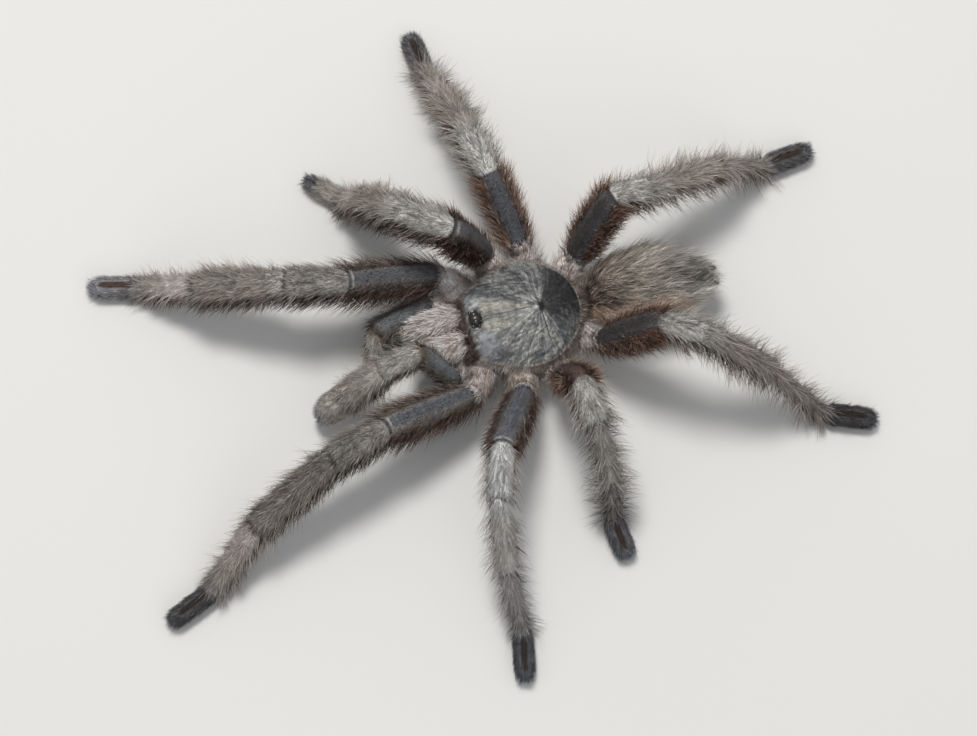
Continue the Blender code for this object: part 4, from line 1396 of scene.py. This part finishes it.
def bareness(line, part, along, away):
    """Where a limb's dark lines and the top of its foot carry almost no hair."""
    coxa = 0.8 * hump(along, 0.8, 0.08) * fall(away, 0.6, 1.2) + 0.6 * hump(along, 0.62, 0.03)
    femur = 0.8 * hump(away, 0.3, 0.07)
    patella = np.clip(1.4 * hump(away, 0.3, 0.14) * hump(along, 0.6, 0.24), 0.0, 0.95)
    tibia = 0.7 * hump(away, 0.27, 0.06) * ramp(along, 0.0, 0.06) * fall(along, 0.7, 0.95)
    metatarsus = 0.5 * hump(away, 0.0, 0.1) * fall(along, 0.5, 0.8)
    covered = line["pair"] == 0 or line["name"] == "leg_R2"
    tarsus = (0.0 if covered else 0.95) * fall(oval_at(line, along, away), 0.6, 1.2)
    return np.choose(part, (coxa, femur, patella, tibia, metatarsus, tarsus))


def limb_roots(line, counts, shape):
    """Root places of hairs on a limb, spread evenly by the count for each length of it."""
    total = line["reach"][-1]
    widest = line["width"].max()
    tries = int(total * 2 * pi * widest * counts.max())
    reach = draw.uniform(0.0, total - 0.05, tries)
    turn = draw.uniform(-pi, pi, tries)
    away = np.abs(turn)
    part, along = part_at(line, reach)
    width = np.interp(reach, line["reach"], line["width"])
    keep = draw.random(tries) < width / widest * counts[part] / counts.max()
    keep &= draw.random(tries) > bareness(line, part, along, away)
    if shape is not pile:
        start = 0.6 - 0.12 * (line["pair"] >= 3)
        keep &= (part != FEMUR) | (draw.random(tries) < ramp(away, start, start + 0.4))
    if shape is skirt:
        shagginess = np.where(part <= FEMUR, 1.0, SHAGGY[line["name"]][0])
        keep &= (away < 2.6) & (draw.random(tries) < ramp(away, 1.05, 1.5) * shagginess)
    reach, turn, part, along = (rows[keep] for rows in (reach, turn, part, along))
    spots, outward, onward, around = surface_at(line, reach, turn)
    keep = clear_of_shell(spots)
    near = reach < line["joints"][0] + 3.0
    check = np.where(keep & near)[0]
    keep[check] = on_skin(spots[check])
    return [rows[keep] for rows in (spots, outward, onward, around, turn, part, along)]


def limb_coat(line, counts, cuts, shape):
    """Grows one layer of hair on a limb; shape gives its lengths, leans, width and tints."""
    spots, outward, onward, around, turn, part, along = limb_roots(line, counts, shape)
    tint = limb_tint(line, part, along, turn, spots)
    length, lift_low, lift_high, width, low_tint, high_tint = shape(line, part, along, turn, tint)
    tuft, other_tuft, shade = tufted(spots, 31, 0.9, 1.0, 0.7)
    loose = np.choose(part, (1.0, 0.4, 1.0, 1.0, 1.0, 0.4))
    fan = -0.35 * np.sin(turn) * (loose > 0.5)
    swing = (draw.normal(0.0, 0.13, len(part)) + 0.9 * tuft * loose + fan)[:, None] * around
    high_tint = high_tint * np.exp(1.1 * shade)[:, None]
    # Painted light: a cool skylight cast on the hair of the outer lengths of the second and third left
    # legs.
    if line["name"] in ("leg_L2", "leg_L3"):
        high_tint = high_tint * mix((1.0, 1.0, 1.0), SKYLIGHT_CAST, part >= TIBIA)
    first = leaning(onward, outward, lift_low + 0.5 * other_tuft * loose) + swing
    last = leaning(onward, outward, lift_high + 0.4 * other_tuft * loose) + swing * 1.6
    column = line["pair"] - 1 if line["pair"] else 4
    across = (column + 0.03 + 0.93 * (turn / (2 * pi) + 0.5)) / 5.0
    patch = np.stack((across, 0.01 + 0.97 * along), -1)
    for number, kind in enumerate(COAT_NAMES):
        here = part == number
        grow(f"{kind}_coat_{line['side']}", *(rows[here] for rows in (
            spots, outward, first, last, length, low_tint, high_tint, patch)), width, cuts)


def foot_cover(line, part, along):
    """How much longer hair is on the foot that is hidden almost to its end."""
    return 1.0 + 0.7 * (line["name"] == "leg_R2") * (part == TARSUS) * fall(along, 0.45, 0.8)


def pile(line, part, along, turn, tint):
    """The short dense hair next to the skin, pressed nearly flat, velvety on the feet."""
    count = len(part)
    away = np.abs(turn)
    foot = np.where(part == METATARSUS, ramp(along, 0.7, 1.0), part == TARSUS)
    length = PILE_LENGTHS[part] * draw.uniform(0.6, 1.3, count) * (0.8 + 0.3 * ramp(away, 0.4, 1.2))
    length = length * foot_cover(line, part, along)
    length = length * (1.0 + 1.8 * (part == FEMUR) * fall(along, 0.06, 0.13))
    lift = np.radians(13.0 + 8.0 * (part == FEMUR) + 20.0 * foot * ramp(away, 0.4, 1.0)
                      + draw.normal(0.0, 6.0, count))
    grey = (part == FEMUR) * (draw.random(count) < 0.3)
    tips = mix(tint * 1.25, GREY_HAIR, 0.55 * grey) * uneven(count, 0.4)
    return length, lift, lift * 0.5, 0.11, tint * 0.5, tips


def middling(line, part, along, turn, tint):
    """Longer, paler hair over the pile, rust red on the sides of the femora."""
    count = len(part)
    away = np.abs(turn)
    side = ramp(away, 0.5, 1.4)
    length = MIDDLING_LENGTHS[part] * (0.75 + 0.35 * side) * draw.uniform(0.6, 1.25, count)
    length = length * foot_cover(line, part, along)
    lift = np.radians((20.0 + 24.0 * side) * SHAGGY[line["name"]][1] + draw.normal(0.0, 8.0, count))
    pale = np.choose(part, (0.3, 0.12, 0.3, 0.3, 0.3, 0.05)) * (1.0 - 0.8 * ramp(away, 1.2, 1.7))
    pale = np.where((part == FEMUR) & (line["pair"] >= 3), 0.5 * ramp(away, 0.85, 1.35), pale)
    tips = mix(tint * 1.25, mix(BUFF, TAWNY_TIP, part == FEMUR), pale) * uneven(count, 0.35)
    return length, lift, lift * 0.4, 0.1, tint * 0.55, tips


def long_hair(line, part, along, turn, tint):
    """Long thin hair with pale tips that stands well out on the sides, longest on the hind legs."""
    count = len(part)
    away = np.abs(turn)
    side = ramp(away, 0.4, 1.4)
    length = LONG_LENGTHS[part] * LONG_SHARES[line["pair"]] * (0.6 + 0.45 * side)
    length = length * draw.uniform(0.5, 1.2, count) * foot_cover(line, part, along)
    brush = 20.0 * (line["name"] == "leg_L3") * (part == METATARSUS)
    lift = np.radians((28.0 + 32.0 * side) * STIFFNESS[line["pair"]] + brush
                      + draw.normal(0.0, 9.0, count))
    pale = np.choose(part, (0.7, 0.4 + 0.3 * (line["pair"] >= 3), 0.75, 0.75, 0.75, 0.1))
    pale = pale * (1.0 - 0.5 * ramp(away, 1.3, 1.8))
    tips = mix(tint, mix(BUFF, TAN_TIP, part == FEMUR), pale) * uneven(count, 0.3)
    return length, lift, lift * 0.55, 0.095, tint * 0.5, tips


def skirt(line, part, along, turn, tint):
    """Long dark hair that hangs from the lower flanks, some of it with pale tips."""
    count = len(part)
    femur = part == FEMUR
    size = SKIRT_SHARES[line["pair"]] * (1.25 if line["name"] == "leg_R2" else 1.0)
    size = size * (1.0 + 0.4 * (line["pair"] <= 1) * femur + 0.2 * (line["name"] == "leg_R1"))
    length = SKIRT_LENGTHS[part] * size * draw.uniform(0.6, 1.2, count)
    lift = np.radians(36.0 + 16.0 * ramp(np.abs(turn), 1.3, 2.0) + draw.normal(0.0, 9.0, count))
    # Painted light: the hanging hair is lighter on the side that faces the animal's right, towards the
    # main lamp, and on the hips all round. The femora take less of it, and more of its tips are pale
    # there.
    lit = np.clip(ramp(-leftness(line, part, turn), 0.1, 0.6) + (part < FEMUR), 0.0, 1.0)
    lit = lit * (1.0 - 0.6 * femur)
    dark = layered(DARK_FRINGE, (RUSTY_FRINGE, femur * (0.2 + 0.2 * line["pair"])),
                   (LIT_FRINGE, 0.8 * lit))
    hind_femur = femur * (line["pair"] >= 3)
    pale = draw.random(count) < 0.16 + 0.25 * lit + 0.4 * hind_femur
    tips = mix(dark, mix(BUFF, FOXY_TIP, hind_femur), 0.6 * pale) * uneven(count, 0.4)
    return length, lift, lift * 0.5, 0.13, dark * 0.6, tips


def wisps(line, part, along, turn, tint):
    """The longest, finest and palest hair, thinly sown, most of it on the hind legs."""
    count = len(part)
    side = ramp(np.abs(turn), 0.5, 1.4)
    length = LONG_LENGTHS[part] * (0.85 + 0.25 * side) * draw.uniform(0.8, 1.15, count)
    lift = np.radians(30.0 + 24.0 * side + draw.normal(0.0, 11.0, count))
    tips = mix(tint, BUFF, 0.85) * uneven(count, 0.25)
    return length, lift, lift * 0.5, 0.065, tint * 0.7, tips


for line in LINES.values():
    limb_coat(line, WISP_COUNTS * (0.4 + 0.6 * (line["pair"] >= 3)), 2, wisps)
    limb_coat(line, SKIRT_COUNTS, 2, skirt)
    limb_coat(line, PILE_COUNTS, 1, pile)
    limb_coat(line, MIDDLING_COUNTS, 1, middling)
    limb_coat(line, LONG_COUNTS, 2, long_hair)


# The coat of the abdomen: the thickest hair on the animal, olive brown with buff tips, laid
# backwards in three layers that stand off more the longer they are. The slope of the abdomen is
# measured over a small step of its length and of the angle.
SHARE_STEP = 0.004
TURN_STEP = 0.01


def patch_at(across, along):
    """Places on a coat's flat map, from shares of the way across and along it."""
    return 0.01 + 0.97 * np.stack((across, along), -1)


def abdomen_coat(count, cuts, lengths, leans, width, pale):
    """Grows a layer of hair on the abdomen."""
    share = np.arccos(1.0 - 2.0 * draw.uniform(0.0, ABDOMEN_TIP, count)) / pi
    turn = draw.uniform(-pi, pi, count)
    spots = abdomen_at(share, turn)
    back = abdomen_at(share + SHARE_STEP, turn) - abdomen_at(share - SHARE_STEP, turn)
    around = abdomen_at(share, turn + TURN_STEP) - abdomen_at(share, turn - TURN_STEP)
    outward = unit(np.cross(around, back))
    length = draw.uniform(*lengths, count) * (0.7 + 0.4 * ramp(share, 0.1, 0.5))
    length = length * (1.0 - 0.3 * ramp(share, 0.72, 0.9) * (cuts == 1))
    length = length * (1.0 + 0.2 * ramp(-turn, 0.9, 1.6))
    lean = np.radians(draw.uniform(*leans, count))
    tuft, other_tuft, shade = tufted(spots, 34, 1.2, 1.3, 0.9)
    swing = unit(around) * (draw.normal(0.0, 0.15, count) + 0.8 * tuft)[:, None]
    lean = lean + 0.4 * other_tuft + 0.1 * ramp(np.abs(turn), 0.7, 1.6)
    tint = abdomen_tint(share, turn, spots)
    tips = mix(tint * 1.2, BUFF, pale * (1.0 - 0.85 * ramp(share, 0.56, 0.76)))
    tips = tips * uneven(count, 0.42) * np.exp(1.5 * shade)[:, None]
    first = leaning(unit(back), outward, lean) + swing
    last = leaning(unit(back), outward, lean * 0.5) + swing * 1.8
    patch = patch_at(turn / (2 * pi) + 0.5, share)
    keep = on_skin(spots)
    grow("abdomen_coat", *(rows[keep] for rows in (
        spots, outward, first, last, length, tint * 0.42, tips, patch)), width, cuts)


abdomen_coat(15000, 1, lengths=(1.2, 2.2), leans=(6.0, 20.0), width=0.12, pale=0.1)
abdomen_coat(9000, 2, lengths=(2.2, 4.0), leans=(8.0, 28.0), width=0.1, pale=0.4)
abdomen_coat(1800, 2, lengths=(3.2, 4.8), leans=(20.0, 44.0), width=0.085, pale=0.7)


# The coat of the shell: very short hair pressed flat on the plate and laid outwards from the
# pit, and a fringe of longer, paler hair that hangs over its edge. The fringe is cream on the
# right and brown at the front and at the waist, with brown tufts between.
PALE_FRINGE = (0.640, 0.570, 0.530)
BROWN_TUFT = (0.160, 0.090, 0.065)
BROWN_BROW = (0.075, 0.036, 0.026)
BROWN_WAIST = (0.075, 0.042, 0.030)
# The slope of the shell is measured over this step, and its flat map is this wide and long.
SLOPE_STEP = 0.02
SHELL_MAP = (17.8, 18.1)
# Half sizes of the place round the eye mound that has no hair, and how far below the plate the
# fringe starts and how strongly it hangs.
MOUND_CLEAR = (1.6, 1.3)
FRINGE_DROP = 0.55
FRINGE_HANG = 0.45
FRINGE_CUTS = 3


def shell_coat(count, inner, outer, lengths, leans, width, fringe):
    """Grows hair between two shares of the way from the pit to the shell's edge."""
    angle = draw.uniform(-180.0, 180.0, count)
    out = np.sqrt(draw.uniform(inner ** 2, outer ** 2, count))
    edge = np.interp(angle, shell_ways, shell_far, period=360.0)
    keep = draw.random(count) < (edge / edge.max()) ** 2
    angle, out, edge = angle[keep], out[keep], edge[keep]
    sideways, forward = off_pit(angle, edge * out)
    tint = shell_tint(sideways, forward, out)
    if not fringe:
        patches = np.minimum(*(oval_reach(sideways, forward, *patch) for patch in BLUE_PATCHES))
        mound_reach = oval_reach(sideways, forward, *MOUND, *MOUND_CLEAR)
        chance = (0.06 + 2.4 * tint.mean(1)) * ramp(patches, 0.7, 1.3) * ramp(mound_reach, 0.8, 1.2)
        keep = draw.random(len(out)) < np.clip(chance, 0.04, 1.0)
        sideways, forward, out, angle, tint = (
            rows[keep] for rows in (sideways, forward, out, angle, tint))
    count = len(out)
    spots = body_place(sideways, forward, shell_height(sideways, forward, out), SHELL_REAR)
    slope_side = shell_top(sideways + SLOPE_STEP, forward) - shell_top(sideways - SLOPE_STEP, forward)
    slope_ahead = shell_top(sideways, forward + SLOPE_STEP) - shell_top(sideways, forward - SLOPE_STEP)
    outward = unit(UP * 2 * SLOPE_STEP - LEFT * slope_side[:, None] - AHEAD * slope_ahead[:, None])
    heading = np.radians(angle) + draw.normal(0.0, 0.16, count)
    run = square_to(outward, LEFT * np.sin(heading)[:, None] + AHEAD * np.cos(heading)[:, None])
    lean = np.radians(draw.uniform(*leans, count))
    length = draw.uniform(*lengths, count)
    first = leaning(run, outward, lean)
    last = leaning(run, outward, lean * 0.3)
    share = draw.random(count) * 0.9 if fringe else np.clip(1.2 * tint.mean(1) - 0.05, 0.0, 0.4)
    tips = mix(tint, CREAM, share) * 1.3 * uneven(count, 0.4)
    if fringe:
        spots = spots - UP * FRINGE_DROP * ramp(out, 0.94, 0.98)[:, None]
        right = ramp(-sideways, 2.5, 4.5)
        waist = ramp(sideways, -1.8, -0.8) * fall(forward, 1.4, 2.6)
        tint = mix(tint, CREAM, 0.7 * right)
        tips = layered(
            tips,
            (PALE_FRINGE, 0.6 * right),
            (BROWN_TUFT, 0.8 * ramp(cloud(spots, 1.6, 17), 0.5, 0.7)),
            (BROWN_BROW, 0.9 * ramp(forward, 16.4, 17.2)),
            (BROWN_WAIST, 0.9 * waist))
        last = last + draw.normal(0.0, 0.25, (count, 3)) - FRINGE_HANG * UP
    patch = np.stack((sideways / SHELL_MAP[0] + 0.5, forward / SHELL_MAP[1]), -1) * 0.95 + 0.02
    grow("shell_coat", spots, outward, first, last, length, tint * 0.8, tips, patch, width,
         FRINGE_CUTS if fringe else 1)


shell_coat(56000, 0.03, 0.985, lengths=(0.35, 0.75), leans=(6.0, 16.0), width=0.06, fringe=False)
shell_coat(7500, 0.96, 0.998, lengths=(1.0, 2.3), leans=(-30.0, 15.0), width=0.095, fringe=True)
shell_coat(1800, 0.92, 0.98, lengths=(0.7, 1.5), leans=(5.0, 25.0), width=0.08, fringe=True)


# The coat of the jaws, of the plate between the legs with the waist, and of the spinnerets:
# rosy cream hair with brown streaks, laid forwards on the jaws and outwards and back elsewhere.
JAW_STREAK = (0.160, 0.115, 0.095)
# The dark red-brown at the jaws' root is partly the membrane's own colour and partly painted shade
# under the front of the shell.
JAW_ROOT = (0.085, 0.040, 0.028)
PLATE_BROWN = (0.110, 0.075, 0.058)
PLATE_DARK = (0.060, 0.035, 0.025)
SPINNERET_HAIR = (0.130, 0.0975, 0.078)
# The flat map of this hair: height of its middle line, and how far back it starts and how
# long it is.
MAP_HEIGHT = 6.5
MAP_BACK = 3.0
MAP_LENGTH = 32.0


def skin_spots(chosen, density):
    """Even random places on the skin's chosen corners, with the outward direction there."""
    mesh = skin.data
    mesh.calc_loop_triangles()
    corners = np.empty(len(mesh.loop_triangles) * 3, int)
    mesh.loop_triangles.foreach_get("vertices", corners)
    corners = corners.reshape(-1, 3)
    corners = corners[chosen[corners].all(1)]
    first, second, third = np.moveaxis(mesh_spots(mesh)[corners], 1, 0)
    cross = np.cross(second - first, third - first)
    area = np.linalg.norm(cross, axis=1) / 2.0
    count = int(area.sum() * density)
    picks = draw.choice(len(area), count, p=area / area.sum())
    share, other = draw.random(count), draw.random(count)
    flip = share + other > 1.0
    share, other = np.where(flip, 1.0 - share, share), np.where(flip, 1.0 - other, other)
    spots = first[picks] + (second - first)[picks] * share[:, None]
    spots = spots + (third - first)[picks] * other[:, None]
    keep = clear_of_shell(spots)
    return spots[keep], unit(cross[picks])[keep]


def body_coat(coat, kind, density, cuts, lengths, leans, width, heading, tint_at):
    """Grows a layer of hair on one kind of part of the body."""
    spots, outward = skin_spots(skin_kinds == kind, density)
    count = len(spots)
    sideways, forward = body_shares(spots)
    run = square_to(outward, heading(sideways) + draw.normal(0.0, 0.22, (count, 3)))
    lean = np.radians(draw.uniform(*leans, count))
    tint = tint_at(sideways, forward, spots)
    tips = tint * uneven(count, 0.35)
    angle = np.arctan2(sideways, spots[:, 2] - MAP_HEIGHT) / (2 * pi) + 0.5
    patch = patch_at(angle, np.clip((forward + MAP_BACK) / MAP_LENGTH, 0.0, 1.0))
    grow(coat, spots, outward, leaning(run, outward, lean), leaning(run, outward, lean * 0.4),
         draw.uniform(*lengths, count), tint * 0.45, tips, patch, width, cuts)


def jaw_tint(sideways, forward, spots):
    """Rosy cream with brown streaks along the jaw, with painted shade between the two, and darker low
    down.
    """
    streak = cloud(np.stack((sideways * 1.9, spots[:, 2] * 1.9, forward * 0.35), -1), 1.0, 21)
    tint = layered(
        CREAM,
        (JAW_STREAK, 0.75 * ramp(streak, 0.62, 0.78)),
        # Painted shade in the gap between the two jaws; the bottom of each jaw is darker too.
        (UMBER, 0.85 * hump(sideways, 0.0, 0.4) + 0.5 * fall(spots[:, 2], 5.2, 6.2)))
    tint = tint * (2.6 + 0.7 * ramp(forward, 19.0, 24.0) + 0.8 * ramp(sideways, 0.4, 2.0))[:, None]
    # The jaws' root, under the shell's front edge: dark red-brown membrane, partly painted shade.
    return mix(JAW_ROOT, tint, ramp(forward + 1.2 * (streak - 0.5), 18.6, 19.4))


def plate_tint(sideways, forward, spots):
    """Dark brown below, rosy cream where the body shows between the legs and round the waist."""
    wander = cloud(spots, 1.1, 22)
    dark = ramp(sideways, -1.6, -0.8) * fall(forward, 0.5, 2.5) + ramp(forward, 17.5, 18.5)
    tint = layered(
        PLATE_BROWN,
        (CREAM, 0.85 * ramp(spots[:, 2], 5.2, 6.8)),
        (RUST, 0.4 * ramp(wander, 0.55, 0.75)),
        (PLATE_DARK, 0.9 * dark))
    return tint * (1.3 + 0.9 * wander)[:, None]


def spinneret_tint(sideways, forward, spots):
    return np.broadcast_to(SPINNERET_HAIR, spots.shape)


def jaw_heading(sideways):
    return AHEAD - 0.25 * UP


def plate_heading(sideways):
    return LEFT * np.sign(sideways)[:, None] * 0.8 - AHEAD * 0.6


def spinneret_heading(sideways):
    return -AHEAD


# Layers of this hair: the coat and what it grows on, hairs on a square millimetre, cuts in each,
# its lengths in mm, how many degrees it stands off, its width, the way it lies and its colours.
BODY_LAYERS = (
    ("jaw_coat", "jaw", 24.0, 1, (0.8, 1.5), (12.0, 30.0), 0.125, jaw_heading, jaw_tint),
    ("jaw_coat", "jaw", 8.0, 2, (1.4, 2.6), (20.0, 48.0), 0.11, jaw_heading, jaw_tint),
    ("plate_coat", "plate", 14.0, 1, (0.8, 1.5), (15.0, 40.0), 0.12, plate_heading, plate_tint),
    ("plate_coat", "plate", 5.0, 2, (1.4, 2.4), (30.0, 60.0), 0.1, plate_heading, plate_tint),
    ("plate_coat", "spinneret", 24.0, 1, (0.3, 0.7), (20.0, 40.0), 0.08, spinneret_heading,
     spinneret_tint),
)
for layer in BODY_LAYERS:
    body_coat(*layer)


# Each coat is one piece, made of all the hair that was grown for it. All have one finish of
# stiff, slightly glossy hair, in the colours of the hairs themselves.
hairy = Finish("stiff_hair", Specular_IOR_Level=0.35)
fleck = hairy.grain(0.5)
hairy.wear(Base_Color=hairy.tinted(hairy.painted_tint(), fleck * 0.5 + 0.78),
           Roughness=fleck * 0.2 + 0.5)
for name, layers in COATS.items():
    spots, quads, tris, tint, unwrap = zip(*layers)
    starts = np.cumsum([0] + [len(rows) for rows in spots[:-1]])
    quads = np.concatenate([rows + start for rows, start in zip(quads, starts)])
    tris = np.concatenate([rows + start for rows, start in zip(tris, starts)])
    spots, tint, unwrap = (np.concatenate(rows) for rows in (spots, tint, unwrap))
    coat = new_piece(name, spots, quads, tris, tint, unwrap)
    coat.data.materials.append(hairy.material)
    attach(coat, "root")
